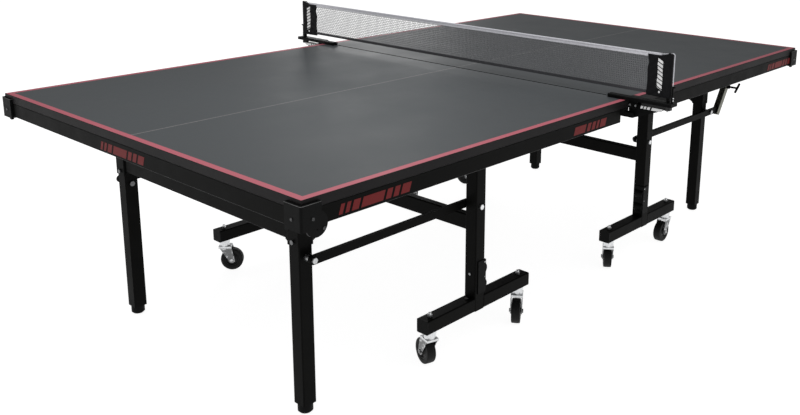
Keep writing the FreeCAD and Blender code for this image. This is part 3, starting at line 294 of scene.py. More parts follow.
# ---- finishes ----
def charcoal_board(paint):
    """Painted board: charcoal top with its stripe and centre line, and a black edge band."""
    material, tree, shader = new_material("charcoal_board")
    where = place(tree)
    x, y, z = separate(tree, where)[:3]
    across = arithmetic(tree, "ABSOLUTE", y)
    along = arithmetic(tree, "ABSOLUTE", x)
    from_side = arithmetic(tree, "SUBTRACT", HALF_WIDTH, across)
    from_end = arithmetic(tree, "SUBTRACT", HALF_LENGTH, along)
    inset = arithmetic(tree, "MINIMUM", from_side, from_end)
    stripe = band(tree, inset, paint.stripe_margin, paint.stripe_margin + paint.stripe_width)
    margin = below(tree, inset, paint.stripe_margin)
    line = below(tree, across, paint.line_width / 2)
    upper = above(tree, z, TABLE_HEIGHT - 0.0004)
    cloud = noise(tree, where, 5.0, 4.0, 0.6)
    grain = noise(tree, where, 900.0, 3.0, 0.6)
    mottled = blended(tree, ranged(tree, cloud, 0.3, 0.7),
                      shaded(paint.charcoal, 0.94), shaded(paint.charcoal, 1.06))
    speckled = blended(tree, ranged(tree, grain, 0.56, 0.72, 0.0, 0.5), mottled, shaded(paint.charcoal, 1.5))
    scuffs = ranged(tree, noise(tree, where, 38.0, 8.0, 0.75), 0.66, 0.74, 0.0, 0.20)
    worn = blended(tree, scuffs, speckled, shaded(paint.charcoal, 1.7))
    lined = blended(tree, line, worn, paint.line)
    pink = blended(tree, ranged(tree, grain, 0.35, 0.65), shaded(paint.stripe, 0.92),
                   shaded(paint.stripe, 1.08))
    striped = blended(tree, stripe, lined, pink)
    bordered = blended(tree, margin, striped, (0.012, 0.010, 0.010))
    coloured = blended(tree, upper, (0.0065, 0.0055, 0.0060), bordered)
    tree.links.new(coloured, shader.inputs["Base Color"])
    rough = ranged(tree, cloud, 0.3, 0.7, 0.50, 0.58)
    tree.links.new(arithmetic(tree, "ADD", rough, ranged(tree, grain, 0.3, 0.7, -0.03, 0.03)),
                   shader.inputs["Roughness"])
    shader.inputs["Specular IOR Level"].default_value = 0.13
    bumped(tree, shader, grain, 0.25, 0.00025)
    return material


def powder_coat(finish):
    """Black powder coat: fine orange peel, dusty patches and a few dull rubs."""
    material, tree, shader = new_material("powder_coat")
    where = place(tree)
    peel = noise(tree, where, 1100.0, 2.0, 0.5)
    dust = noise(tree, where, 14.0, 5.0, 0.65)
    rubs = ranged(tree, noise(tree, where, 160.0, 6.0, 0.7), 0.68, 0.76, 0.0, 0.5)
    dusty = blended(tree, ranged(tree, dust, 0.45, 0.75), finish.steel, shaded(finish.steel, 1.7))
    coat_colour = blended(tree, rubs, dusty, shaded(finish.steel, 3.5))
    surfaced(tree, shader, coat_colour, ranged(tree, dust, 0.3, 0.7, 0.40, 0.52), 0.035)
    bumped(tree, shader, peel, 0.35, 0.0002)
    return material


def painted_highlight_rim(tree, z, level, depth, black, bright):
    """Black paint with a thin painted highlight line between level - depth and level, broken up by noise."""
    patchy = ranged(tree, noise(tree, place(tree), 6.0, 6.0, 0.7), 0.35, 0.62, 0.15, 1.0)
    rim = times(tree, band(tree, z, level - depth, level), patchy)
    return blended(tree, rim, black, bright)


def apron_coat(finish):
    """Powder coat of the aprons, with a thin pale painted highlight along the rolled upper edge and a dimmer
    painted highlight along the lower edge.
    """
    material = powder_coat(finish)
    material.name = "apron_coat"
    tree = material.node_tree
    shader = tree.nodes["Principled BSDF"]
    coat = shader.inputs["Base Color"].links[0].from_socket
    z = separate(tree, place(tree))[2]
    # Painted highlights: a pale line on the rolled top edge and a dimmer one on the bottom edge.
    coat_colour = painted_highlight_rim(tree, z, APRON_HIGH.z + 0.0002, 0.0016, coat, finish.edge_highlight)
    tree.links.new(painted_highlight_rim(tree, z, APRON_LOW.z + 0.0014, 0.0014, coat_colour, shaded(finish.edge_highlight, 0.4)),
                   shader.inputs["Base Color"])
    return material


def cap_plastic(finish):
    """Moulded plastic of the corner caps, with a thin pale painted highlight along the upper rim."""
    material = moulded_plastic(finish)
    material.name = "cap_plastic"
    tree = material.node_tree
    shader = tree.nodes["Principled BSDF"]
    black = shader.inputs["Base Color"].links[0].from_socket
    z = separate(tree, place(tree))[2]
    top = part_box("corner_caps_a")[1].z
    # Painted highlight: a pale line along the caps' upper rim.
    tree.links.new(painted_highlight_rim(tree, z, top - 0.0004, 0.0014, black, finish.edge_highlight), shader.inputs["Base Color"])
    return material


def blackened_bolt(finish):
    """Blackened bolts and screws, worn to dull steel in spots."""
    material, tree, shader = new_material("blackened_bolt")
    where = place(tree)
    worn = ranged(tree, noise(tree, where, 300.0, 5.0, 0.7), 0.45, 0.70)
    shown = blended(tree, worn, shaded(finish.zinc, 0.05), shaded(finish.zinc, 0.22))
    surfaced(tree, shader, shown, ranged(tree, worn, 0.0, 1.0, 0.45, 0.32))
    shader.inputs["Metallic"].default_value = 0.8
    bumped(tree, shader, worn, 0.15, 0.0002)
    return material


def moulded_plastic(finish):
    """Black moulded plastic with a fine spark-eroded texture."""
    material, tree, shader = new_material("moulded_plastic")
    where = place(tree)
    texture = noise(tree, where, 1700.0, 3.0, 0.6)
    wear = noise(tree, where, 60.0, 5.0, 0.7)
    shown = blended(tree, ranged(tree, wear, 0.5, 0.8), finish.plastic,
                    shaded(finish.plastic, 2.2))
    surfaced(tree, shader, shown, ranged(tree, wear, 0.3, 0.7, 0.44, 0.58), 0.065)
    bumped(tree, shader, texture, 0.45, 0.00022)
    return material


def bright_zinc(name, finish, shade):
    """Zinc-plated steel: bright, faintly mottled, with dull spots. Shade is a function of the tree and the
    place, and gives a socket from 0, dark zinc, to 1, bright; the forks and the bolts use it to paint
    highlights and shade onto one zinc by place."""
    material, tree, shader = new_material(name)
    where = place(tree)
    mottle = noise(tree, where, 240.0, 5.0, 0.6)
    spots = ranged(tree, noise(tree, where, 700.0, 3.0, 0.6), 0.62, 0.74, 0.0, 0.5)
    plated = blended(tree, ranged(tree, mottle, 0.35, 0.65), shaded(finish.zinc, 0.82),
                     shaded(finish.zinc, 1.15))
    spotted = blended(tree, spots, plated, shaded(finish.zinc, 0.55))
    # Dark zinc: painted shade and dark reflections where the shade of the forks and bolts is 0, and the
    # colour of the rivets' fine scratches.
    dark_zinc = blended(tree, mottle, shaded(finish.zinc, 0.10), shaded(finish.zinc, 0.30))
    shown = blended(tree, shade(tree, where), dark_zinc, spotted)
    surfaced(tree, shader, shown, ranged(tree, mottle, 0.3, 0.7, 0.24, 0.38))
    shader.inputs["Metallic"].default_value = 0.9
    bumped(tree, shader, mottle, 0.12, 0.0002)
    return material


def fork_painted_light(tree, where):
    """Painted light on a fork: a painted highlight on the pressed crown and in streaks across the cheeks, and
    painted shade on the rest of the cheeks.
    """
    z = separate(tree, where)[2]
    crown = ranged(tree, z, FORK_CROWN - 0.010, FORK_CROWN - 0.004)
    streaks = ranged(tree, noise(tree, where, 85.0, 3.0, 0.6), 0.50, 0.66, 0.0, 0.75)
    return arithmetic(tree, "MAXIMUM", crown, streaks)


def frame_bolt_painted_light(tree, where):
    """Painted light on the frame bolts: a painted highlight on the threaded ends above the nuts and below the
    bars, half painted shade on the nuts, and painted shade on the bolts in the posts.
    """
    z = separate(tree, where)[2]
    stud = above(tree, z, NUT_TOP)
    low = times(tree, below(tree, z, NUT_TOP), 0.35)
    post_bolt = band(tree, z, BAR_TOP + POST_BOLT_RISES[0], BAR_TOP + POST_BOLT_RISES[1])
    under = below(tree, z, BAR_TOP - UNDER_BAR_DROP)
    lit = arithmetic(tree, "MAXIMUM", arithmetic(tree, "MAXIMUM", stud, low), under)
    return arithmetic(tree, "SUBTRACT", lit, times(tree, post_bolt, 0.85))


def leg_bolt_painted_light(tree, where):
    """Painted light on the leg bolts: the pins that carry the struts, furthest out, get a half-bright painted
    highlight, and the other bolts painted shade.
    """
    y = arithmetic(tree, "ABSOLUTE", separate(tree, where)[1])
    outer = above(tree, y, LEG_SLEEVE_FACE)
    return times(tree, outer, 0.6)


def all_bright(tree, where):
    """Bright all over, with fine dull scratches."""
    return ranged(tree, noise(tree, where, 260.0, 6.0, 0.7), 0.60, 0.72, 1.0, 0.7)


def galvanised_strip(finish):
    """Galvanised strip steel with dull spangle."""
    material, tree, shader = new_material("galvanised_strip")
    where = place(tree)
    spangle = node(tree, "ShaderNodeTexVoronoi", {"Vector": where, "Scale": 170.0}).outputs["Color"]
    grey = separate(tree, spangle)[0]
    haze = noise(tree, where, 45.0, 5.0, 0.65)
    plated = blended(tree, grey, shaded(finish.galvanised, 0.78), shaded(finish.galvanised, 1.15))
    shown = blended(tree, ranged(tree, haze, 0.5, 0.8, 0.0, 0.7), plated, shaded(finish.galvanised, 0.5))
    surfaced(tree, shader, shown, ranged(tree, grey, 0.0, 1.0, 0.38, 0.54))
    shader.inputs["Metallic"].default_value = 0.75
    bumped(tree, shader, haze, 0.2, 0.0002)
    return material


def tyre_rubber(finish):
    """Castor tyre: black rubber, dusty, with fine turning marks."""
    material, tree, shader = new_material("tyre_rubber")
    where = place(tree)
    dust = noise(tree, where, 190.0, 6.0, 0.7)
    shown = blended(tree, ranged(tree, dust, 0.50, 0.78), finish.rubber,
                    shaded(finish.rubber, 3.2))
    surfaced(tree, shader, shown, ranged(tree, dust, 0.3, 0.7, 0.50, 0.68), 0.16)
    bumped(tree, shader, noise(tree, where, 1500.0, 3.0, 0.6), 0.5, 0.0002)
    return material


def hub_plastic(finish):
    """Glossier moulded hub of a castor wheel."""
    material, tree, shader = new_material("hub_plastic")
    where = place(tree)
    scratch = noise(tree, where, 420.0, 6.0, 0.7)
    shown = blended(tree, ranged(tree, scratch, 0.6, 0.8), shaded(finish.plastic, 1.3),
                    shaded(finish.plastic, 5.0))
    surfaced(tree, shader, shown, ranged(tree, scratch, 0.3, 0.7, 0.26, 0.40), 0.22)
    bumped(tree, shader, scratch, 0.15, 0.0002)
    return material


def net_yarn(net):
    """Twisted nylon yarn of the net."""
    material, tree, shader = new_material("net_yarn")
    where = place(tree)
    twist = node(tree, "ShaderNodeTexWave", {"Vector": where, "Scale": 420.0, "Distortion": 1.5},
                 bands_direction="DIAGONAL").outputs["Fac"]
    shade = noise(tree, where, 22.0, 4.0, 0.6)
    yarn = blended(tree, twist, shaded(net.strand, 0.72), shaded(net.strand, 1.2))
    shown = blended(tree, ranged(tree, shade, 0.35, 0.65, 0.0, 0.25), yarn, shaded(net.strand, 0.6))
    surfaced(tree, shader, shown, ranged(tree, twist, 0.0, 1.0, 0.55, 0.75), 0.3)
    shader.inputs["Sheen Weight"].default_value = 0.15
    bumped(tree, shader, twist, 0.3, 0.0003)
    return material


def woven(name, colour, threads, sheen, contrast):
    """Plain weave read from the piece's own UV map, whose unit is a metre: two crossed sets of threads."""
    material, tree, shader = new_material(name)
    uv = node(tree, "ShaderNodeTexCoord").outputs["UV"]
    u, v = separate(tree, uv)[:2]
    warp = arithmetic(tree, "SINE", times(tree, u, TURN * threads))
    weft = arithmetic(tree, "SINE", times(tree, v, TURN * threads))
    crossing = times(tree, warp, weft)
    wander = noise(tree, uv, 90.0, 5.0, 0.65)
    cloth = blended(tree, ranged(tree, crossing, -1.0, 1.0), shaded(colour, 1 - contrast),
                    shaded(colour, 1 + contrast))
    shown = blended(tree, ranged(tree, wander, 0.4, 0.75, 0.0, 0.5), cloth, shaded(colour, 0.7))
    surfaced(tree, shader, shown, ranged(tree, wander, 0.3, 0.7, 0.62, 0.80), 0.25)
    shader.inputs["Sheen Weight"].default_value = sheen
    bumped(tree, shader, arithmetic(tree, "ADD", crossing, wander), 0.35, 0.00025)
    return material


PRINT_SHIFT = 0.004
BLOCK_PITCH = 0.0134
BLOCK_HALF_WIDTH = 0.0095
BLOCK_SHARE = 0.74
BLOCKS_LOW = 0.8125
BLOCKS_HIGH = 0.9065
DOT_HEIGHT = 0.802
DOT_RADIUS = 0.0034


def sleeve_cloth(net, marks):
    """Black sleeve cloth with a column of plain white slanted blocks and a dot, printed on the face that
    looks along the table towards half A's end."""
    material = woven("sleeve_cloth", net.bag, 900.0, 0.05, 0.10)
    tree = material.node_tree
    shader = tree.nodes["Principled BSDF"]
    shader.inputs["Specular IOR Level"].default_value = 0.10
    cloth = shader.inputs["Base Color"].links[0].from_socket
    x, y, z = separate(tree, place(tree))[:3]
    across = arithmetic(tree, "ABSOLUTE", y)
    middle = (MESH_HIGH.y + BAG_HIGH.y) / 2 + PRINT_SHIFT
    aside = arithmetic(tree, "SUBTRACT", across, middle)
    leaning = arithmetic(tree, "ADD", z, times(tree, aside, 0.5))
    turns = arithmetic(tree, "FRACT", arithmetic(tree, "DIVIDE", leaning, BLOCK_PITCH))
    column = below(tree, arithmetic(tree, "ABSOLUTE", aside), BLOCK_HALF_WIDTH)
    inked = below(tree, turns, BLOCK_SHARE)
    blocks = times(tree, band(tree, leaning, BLOCKS_LOW, BLOCKS_HIGH), inked)
    off = arithmetic(tree, "SUBTRACT", z, DOT_HEIGHT)
    across_square = times(tree, aside, aside)
    far = arithmetic(tree, "ADD", across_square, times(tree, off, off))
    dot = below(tree, far, DOT_RADIUS ** 2)
    printed = arithmetic(tree, "MAXIMUM", times(tree, column, blocks), dot)
    front = times(tree, printed, below(tree, x, 0.0))
    tree.links.new(blended(tree, front, cloth, marks.white), shader.inputs["Base Color"])
    return material


def braided_cord(net):
    """White braided tension cord."""
    material, tree, shader = new_material("braided_cord")
    where = place(tree)
    braid = node(tree, "ShaderNodeTexWave", {"Vector": where, "Scale": 260.0, "Distortion": 2.0},
                 bands_direction="DIAGONAL").outputs["Fac"]
    shown = blended(tree, braid, shaded(net.tape, 0.72), shaded(net.tape, 1.1))
    surfaced(tree, shader, shown, ranged(tree, braid, 0.0, 1.0, 0.6, 0.8))
    bumped(tree, shader, braid, 0.5, 0.0004)
    return material


def printed_film(name, colour):
    """Screen-printed ink, a little thin in places."""
    material, tree, shader = new_material(name)
    where = place(tree)
    thin = noise(tree, where, 700.0, 5.0, 0.7)
    shown = blended(tree, ranged(tree, thin, 0.5, 0.75), colour, shaded(colour, 0.6))
    surfaced(tree, shader, shown, ranged(tree, thin, 0.3, 0.7, 0.40, 0.60), 0.12)
    bumped(tree, shader, thin, 0.1, 0.0001)
    return material


def knob_and_screw(finish, tip_top):
    """Black knob whose screw, below tip_top, is bright steel."""
    material, tree, shader = new_material("knob_and_screw")
    where = place(tree)
    z = separate(tree, where)[2]
    steel = below(tree, z, tip_top)
    thread = node(tree, "ShaderNodeTexWave", {"Vector": where, "Scale": 300.0},
                  bands_direction="Z").outputs["Fac"]
    grain = noise(tree, where, 1500.0, 3.0, 0.6)
    black = blended(tree, grain, finish.plastic, shaded(finish.plastic, 2.0))
    bright = blended(tree, thread, shaded(finish.zinc, 0.5), finish.zinc)
    tree.links.new(blended(tree, steel, black, bright), shader.inputs["Base Color"])
    tree.links.new(times(tree, steel, 0.85), shader.inputs["Metallic"])
    tree.links.new(ranged(tree, grain, 0.3, 0.7, 0.35, 0.5), shader.inputs["Roughness"])
    bumped(tree, shader, grain, 0.3, 0.0002)
    return material


def studio_floor(colour):
    """Pale matt floor with the faintest unevenness."""
    material, tree, shader = new_material("studio_floor")
    where = place(tree)
    haze = noise(tree, where, 0.7, 3.0, 0.5)
    pale = blended(tree, haze, shaded(colour, 0.99), shaded(colour, 1.01))
    tree.links.new(pale, shader.inputs["Base Color"])
    shader.inputs["Roughness"].default_value = 0.9
    shader.inputs["Specular IOR Level"].default_value = 0.0
    shader.inputs["Emission Color"].default_value = (1.0, 1.0, 1.0, 1.0)
    shader.inputs["Emission Strength"].default_value = 0.92
    return material


def dress(material, *starts):
    """Give a finish to every packed piece whose name starts with one of the words."""
    for name in sorted(NODES):
        if name.startswith(starts):
            slots = NODES[name].data.materials
            slots.clear()
            slots.append(material)


# ---- surfaces ----
def surface(name, points, closed_round, closed_along, material, uv=None):
    """Mesh from a grid of points, indexed (along, round); closed directions join their ends, and open
    ends of a closed ring are shut with one flat face each where closed_along is "capped"."""
    along, around = points.shape[:2]
    index = np.arange(along * around).reshape(along, around)
    next_round = np.roll(index, -1, axis=1)
    next_along = np.roll(index, -1, axis=0)
    quads = np.stack([index, next_round, np.roll(next_round, -1, axis=0), next_along], axis=-1)
    if closed_along is not True:
        quads = quads[:-1]
    if not closed_round:
        quads = quads[:, :-1]
    faces = quads.reshape(-1, 4).tolist()
    if closed_along == "capped":
        faces.append(index[0, ::-1].tolist())
        faces.append(index[-1].tolist())
    return finished(name, points.reshape(-1, 3), faces, material, uv)


def finished(name, vertices, faces, material, uv=None):
    """Object from vertices and faces, with smooth faces, an optional UV for each vertex, and its finish."""
    mesh = bpy.data.meshes.new(name)
    mesh.from_pydata(vertices.tolist(), [], faces)
    mesh.update()
    mesh.polygons.foreach_set("use_smooth", np.ones(len(mesh.polygons), bool))
    if uv is not None:
        corners = np.zeros(len(mesh.loops), np.int32)
        mesh.loops.foreach_get("vertex_index", corners)
        layer = mesh.uv_layers.new(name="cloth")
        layer.data.foreach_set("uv", uv.reshape(-1, 2)[corners].ravel().astype(np.float32))
    if material is not None:
        mesh.materials.append(material)
    piece = bpy.data.objects.new(name, mesh)
    bpy.context.scene.collection.objects.link(piece)
    return piece


def strand_bundle(name, centres, across, depth, radius, sides, material):
    """Many closed strands at once: centres is (strands, steps, 3), and each ring lies in the plane of
    the across and depth directions at the strand's radius."""
    strands, steps = centres.shape[:2]
    angle = TURN * (np.arange(sides) + 0.5) / sides
    ring = radius * (np.cos(angle)[:, None] * across + np.sin(angle)[:, None] * depth)
    points = centres[:, :, None, :] + ring
    index = np.arange(strands * steps * sides).reshape(strands, steps, sides)
    turned = np.roll(index, -1, axis=2)
    walls = np.stack([index[:, :-1], turned[:, :-1], turned[:, 1:], index[:, 1:]], axis=-1).reshape(-1, 4)
    ends = np.concatenate([index[:, 0, ::-1], index[:, -1]])
    return finished(name, points.reshape(-1, 3), walls.tolist() + ends.tolist(), material)


def turned(name, outline, centre, axle, facets, material):
    """Ring-shaped solid: a closed outline of (radius, offset along the axle) carried once round the axle."""
    axle = np.array(axle) / np.linalg.norm(axle)
    up = np.array((0.0, 0.0, 1.0))
    side = np.cross(up, axle)
    angle = TURN * np.arange(facets) / facets
    spoke = np.cos(angle)[:, None] * side + np.sin(angle)[:, None] * up
    radius = outline[:, 0]
    offset = outline[:, 1]
    points = (np.array(centre) + spoke[:, None, :] * radius[None, :, None]
              + axle * offset[None, :, None])
    return surface(name, points, True, True, material)


def ride(piece, body, slot, *replaced):
    """The piece rides on a body and stands for packed pieces; slot is not used."""
    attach(piece, body)
    if replaced:
        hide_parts(*replaced)
    return piece


# ---- operators ----
class PaintBoards(bpy.types.Operator):
    """Paint both playing boards with their stripe and centre line."""

    bl_idname = "table.paint_boards"
    bl_label = "Paint boards"

    def execute(self, context):
        dress(charcoal_board(context.scene.board_paint), "top_")
        return {"FINISHED"}


class CoatSteel(bpy.types.Operator):
    """Powder-coat the T frames, leg frames, aprons, struts and brackets."""

    bl_idname = "table.coat_steel"
    bl_label = "Coat steel"

    def execute(self, context):
        finish = context.scene.frame_finish
        dress(powder_coat(finish), "posts_", "foot_bars_", "stretcher_", "leg_tubes_", "leg_head_", "struts_",
              "brackets_")
        dress(apron_coat(finish), "apron_")
        return {"FINISHED"}


BARE_SCREW_TIP = 0.0058


class FinishPlastics(bpy.types.Operator):
    """Finish caps, buffers, feet, clamps, levers, knobs and the pull handle."""

    bl_idname = "table.finish_plastics"
    bl_label = "Finish plastics"

    def execute(self, context):
        finish = context.scene.frame_finish
        dress(cap_plastic(finish), "corner_caps_")
        dress(moulded_plastic(finish), "frame_plastics_", "foot_a", "foot_b1", "foot_b2",
              "net_clamps", "clamp_lever_", "stay_handle")
        tip_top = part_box("tension_knob_1")[0].z + BARE_SCREW_TIP
        dress(knob_and_screw(finish, tip_top), "tension_knob_")
        return {"FINISHED"}


class PlateHardware(bpy.types.Operator):
    """Plate the fasteners, castor forks, rivets and the safety stay."""

    bl_idname = "table.plate_hardware"
    bl_label = "Plate hardware"

    def execute(self, context):
        finish = context.scene.frame_finish
        # One zinc for the forks and the frame and leg bolts, with painted highlights and painted shade by
        # place.
        dress(bright_zinc("zinc_fork", finish, fork_painted_light), "castor_fork_")
        dress(bright_zinc("zinc_frame_bolts", finish, frame_bolt_painted_light), "frame_fasteners_")
        dress(bright_zinc("zinc_leg_bolts", finish, leg_bolt_painted_light), "leg_fasteners_")
        dress(bright_zinc("zinc_bright", finish, all_bright), "net_rivets")
        dress(blackened_bolt(finish), "board_fasteners_")
        dress(galvanised_strip(finish), "stay_link")
        return {"FINISHED"}


class TurnWheels(bpy.types.Operator):
    """Turn the castor wheels: a tyre with a crowned tread and a dished hub."""

    bl_idname = "table.turn_wheels"
    bl_label = "Turn wheels"

    def execute(self, context):
        finish = context.scene.frame_finish
        facets = context.scene.studio.rounds
        rubber = tyre_rubber(finish)
        plastic = hub_plastic(finish)
        for name in sorted(NODES):
            if name.startswith("castor_wheel_"):
                self.wheel(name.removeprefix("castor_wheel_"), facets, rubber, plastic)
        return {"FINISHED"}

    def wheel(self, castor, facets, rubber, plastic):
        """Tyre and hub of one castor, centred on its rolling joint."""
        roll = JOINTS["castor_roll_" + castor]
        body = "wheel_" + castor
        centre = roll["pos_m"]
        radius = centre[2]
        tyre = turned("tyre_" + castor, tyre_outline(radius), centre, roll["axis"], facets, rubber)
        ride(tyre, body, "wheel_rubber", "castor_wheel_" + castor)
        hub = turned("hub_" + castor, hub_outline(), centre, roll["axis"], facets, plastic)
        ride(hub, body, "wheel_rubber")


TYRE_HALF_WIDTH = 0.015
TYRE_SEAT = 0.0255
GROOVE_OFFSET = 0.0085
GROOVE_DEPTH = 0.0005
GROOVE_WIDTH = 0.0006


def tyre_outline(radius):
    """Closed outline of a tyre: a tread that falls off from its middle as the square of the offset and, at
    the shoulders, as its seventh power, two fine grooves, and straight sides down to the hub's seat."""
    half = TYRE_HALF_WIDTH
    seat = TYRE_SEAT
    share = np.linspace(-1, 1, 41)
    crown = radius - 0.0008 * share ** 2 - 0.0062 * np.abs(share) ** 7
    tread = np.stack([crown, half * np.sin(share * math.pi / 2)], axis=1)
    for place_at in (GROOVE_OFFSET, -GROOVE_OFFSET):
        tread[:, 0] -= GROOVE_DEPTH * np.exp(-((tread[:, 1] - place_at) / GROOVE_WIDTH) ** 2)
    side = np.array([(radius - 0.0095, half), (seat + 0.003, half - 0.0008), (seat, half - 0.002)])
    return np.concatenate([tread, side, side[::-1] * (1, -1)])


def hub_outline():
    """Closed outline of a hub: raised rim lip, dished web with a ring, and a boss round the axle."""
    half = np.array([(0.0254, 0.0130), (0.0236, 0.0138), (0.0222, 0.0130), (0.0214, 0.0098), (0.0180, 0.0088),
                     (0.0172, 0.0095), (0.0162, 0.0095), (0.0154, 0.0088), (0.0126, 0.0094), (0.0118, 0.0140),
                     (0.0110, 0.0162), (0.0096, 0.0165), (0.0041, 0.0165)])
    return np.concatenate([half, half[::-1] * (1, -1)])


class WeaveNet(bpy.types.Operator):
    """Weave the net's mesh from crossing strands."""

    bl_idname = "table.weave_net"
    bl_label = "Weave net"

    def execute(self, context):
        net = context.scene.net_set
        yarn = net_yarn(net)
        upright, level, area = mesh_strands(net)
        body = NODES["net_mesh"]["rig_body"]
        radius = net.strand_width / 2
        columns = strand_bundle("net_mesh_upright", upright, X_UNIT, Y_UNIT, radius, STRAND_SIDES, yarn)
        rows = strand_bundle("net_mesh_level", level, X_UNIT, Z_UNIT, radius, STRAND_SIDES, yarn)
        bpy.context.view_layer.objects.active = columns
        with context.temp_override(active_object=columns, selected_editable_objects=[columns, rows]):
            bpy.ops.object.join()
        columns.name = "net_mesh_strands"
        ride(columns, body, "net_mesh", "net_mesh")
        return {"FINISHED"}


X_UNIT = np.array((1.0, 0.0, 0.0))
Y_UNIT = np.array((0.0, 1.0, 0.0))
Z_UNIT = np.array((0.0, 0.0, 1.0))
STRAND_SIDES = 4
STRAND_WANDER = 0.03
STRIP_STATIONS = 201
TAIL_STATIONS = 12
TAIL_THICKNESS = 0.0036
THREAD_RADIUS = 0.00035
STITCH_DEPTH = 0.00155
STITCH_ROWS = (0.0022, 0.0062)


def mesh_strands(net):
    """Centre lines of the upright and level strands. The strands weave past each other: every one swings
    by half a strand's width as a cosine that changes sign at each crossing."""
    half_y = MESH_HIGH.y - net.strand_width
    low = MESH_LOW.z - net.strand_width
    high = MESH_HIGH.z + net.strand_width
    columns = int(2 * half_y / net.pitch)
    rows = int((high - low) / net.pitch)
    y = np.linspace(-half_y, half_y, columns)
    z = low + (high - low) * (np.arange(rows) + 0.5) / rows
    swing = net.strand_width * 0.30
    random = np.random.default_rng(7)
    steps = 2 * rows + 1
    z_steps = np.linspace(low, high, steps)
    upright = np.zeros((columns, steps, 3))
    upright[:, :, 0] = swing * np.cos(math.pi * (np.arange(steps)[None, :] / 2 + np.arange(columns)[:, None]))
    upright[:, :, 1] = y[:, None] + random.normal(0, net.pitch * STRAND_WANDER, (columns, steps))
    upright[:, :, 2] = z_steps[None, :]
    level = np.zeros((rows, columns, 3))
    level[:, :, 0] = -swing * np.cos(math.pi * (np.arange(columns)[None, :] + np.arange(rows)[:, None] + 0.5))
    level[:, :, 1] = y[None, :]
    level[:, :, 2] = z[:, None] + random.normal(0, net.pitch * STRAND_WANDER, (rows, columns))
    area = net.strand_width * (columns * (high - low) + rows * 2 * half_y)
    return upright, level, area


def folded_ring(half, low, high, cloth, fold_up):
    """Closed cross-section of a strip of cloth folded once lengthwise, as (depth, height). Half is the
    half thickness from the open edge to the fold; the inner face is the outer one drawn in by the cloth."""
    share = np.linspace(0, 1, len(half))
    inner = np.maximum(half - cloth, 0.00008)
    outer_rise = (high - low) * share
    inner_rise = (high - low - cloth) * share
    front = np.stack([half, outer_rise], axis=1)
    hollow = np.stack([inner, inner_rise], axis=1)
    ring = np.concatenate([front, front[::-1] * (-1, 1), hollow * (-1, 1), hollow[::-1]])
    if fold_up:
        ring[:, 1] += low
        return ring
    ring[:, 1] = high - ring[:, 1]
    return ring[::-1]


def carried(ring, stations, y_start, y_end):
    """A closed (depth, height) ring carried straight along Y, as a grid of points."""
    y = np.linspace(y_start, y_end, stations)
    points = np.zeros((stations, len(ring), 3))
    points[:, :, 0] = ring[None, :, 0]
    points[:, :, 1] = y[:, None]
    points[:, :, 2] = ring[None, :, 1]
    return points


def metre_uv(points):
    """UV in metres: the length carried along the first direction and round the second."""
    along = np.linalg.norm(np.diff(points, axis=0), axis=2).mean(axis=1)
    around = np.linalg.norm(np.diff(points, axis=1), axis=2).mean(axis=0)
    u = np.concatenate([[0], np.cumsum(along)])
    v = np.concatenate([[0], np.cumsum(around)])
    return np.stack(np.meshgrid(u, v, indexing="ij"), axis=-1)


class SewTapes(bpy.types.Operator):
    """Sew the white top tape over its cord and the dark hem under the mesh."""

    bl_idname = "table.sew_tapes"
    bl_label = "Sew tapes"

    def execute(self, context):
        net = context.scene.net_set
        body = NODES["net_tapes"]["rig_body"]
        white = woven("tape_weave", net.tape, 1100.0, 0.2, 0.10)
        dark = woven("hem_weave", net.hem, 1100.0, 0.1, 0.15)
        end = MESH_HIGH.y
        low = MESH_HIGH.z
        high = low + net.tape_height
        points = carried(folded_ring(tape_half(), low, high, net.tape_cloth, True), STRIP_STATIONS,
                         -end, end)
        tape = surface("net_top_tape", points, True, "capped", white, metre_uv(points))
        ride(tape, body, "net_tape", "net_tapes")
        ring = folded_ring(hem_half(net.hem_thickness), TAPE_LOW.z, MESH_LOW.z, net.tape_cloth, False)
        points = carried(ring, STRIP_STATIONS, -end, end)
        hem = surface("net_hem", points, True, "capped", dark, metre_uv(points))
        ride(hem, body, "net_tape")
        tail_low = TAPE_HIGH.z - net.tail_height
        for number, side in enumerate(SIDES, 1):
            ring = folded_ring(hem_half(TAIL_THICKNESS), tail_low, TAPE_HIGH.z, net.tape_cloth, True)
            start, stop = sorted((side * end, side * TAPE_HIGH.y))
            points = carried(ring, TAIL_STATIONS, start, stop)
            tail = surface("net_tape_tail_%d" % number, points, True, "capped", white, metre_uv(points))
            ride(tail, body, "net_tape")
        heights = (low + STITCH_ROWS[0], high - STITCH_ROWS[1])
        self.stitches(net, body, white, end, heights, STITCH_DEPTH)
        return {"FINISHED"}

    def stitches(self, net, body, material, end, heights, depth):
        """Rows of lock stitches on both faces: each is a short strand that dips at both ends."""
        count = int(2 * end / net.stitch)
        y = np.linspace(-end, end, count, endpoint=False) + net.stitch / 2
        share = np.array((-0.36, 0.0, 0.36))
        dip = np.array((-0.0003, 0.00015, -0.0003))
        rows = []
        for z in heights:
            for face in SIDES:
                centres = np.zeros((count, 3, 3))
                centres[:, :, 0] = face * (depth + dip[None, :])
                centres[:, :, 1] = y[:, None] + net.stitch * share[None, :]
                centres[:, :, 2] = z
                rows.append(centres)
        thread = strand_bundle("net_tape_stitches", np.concatenate(rows), X_UNIT, Z_UNIT, THREAD_RADIUS,
                               STRAND_SIDES, material)
        ride(thread, body, "net_tape")


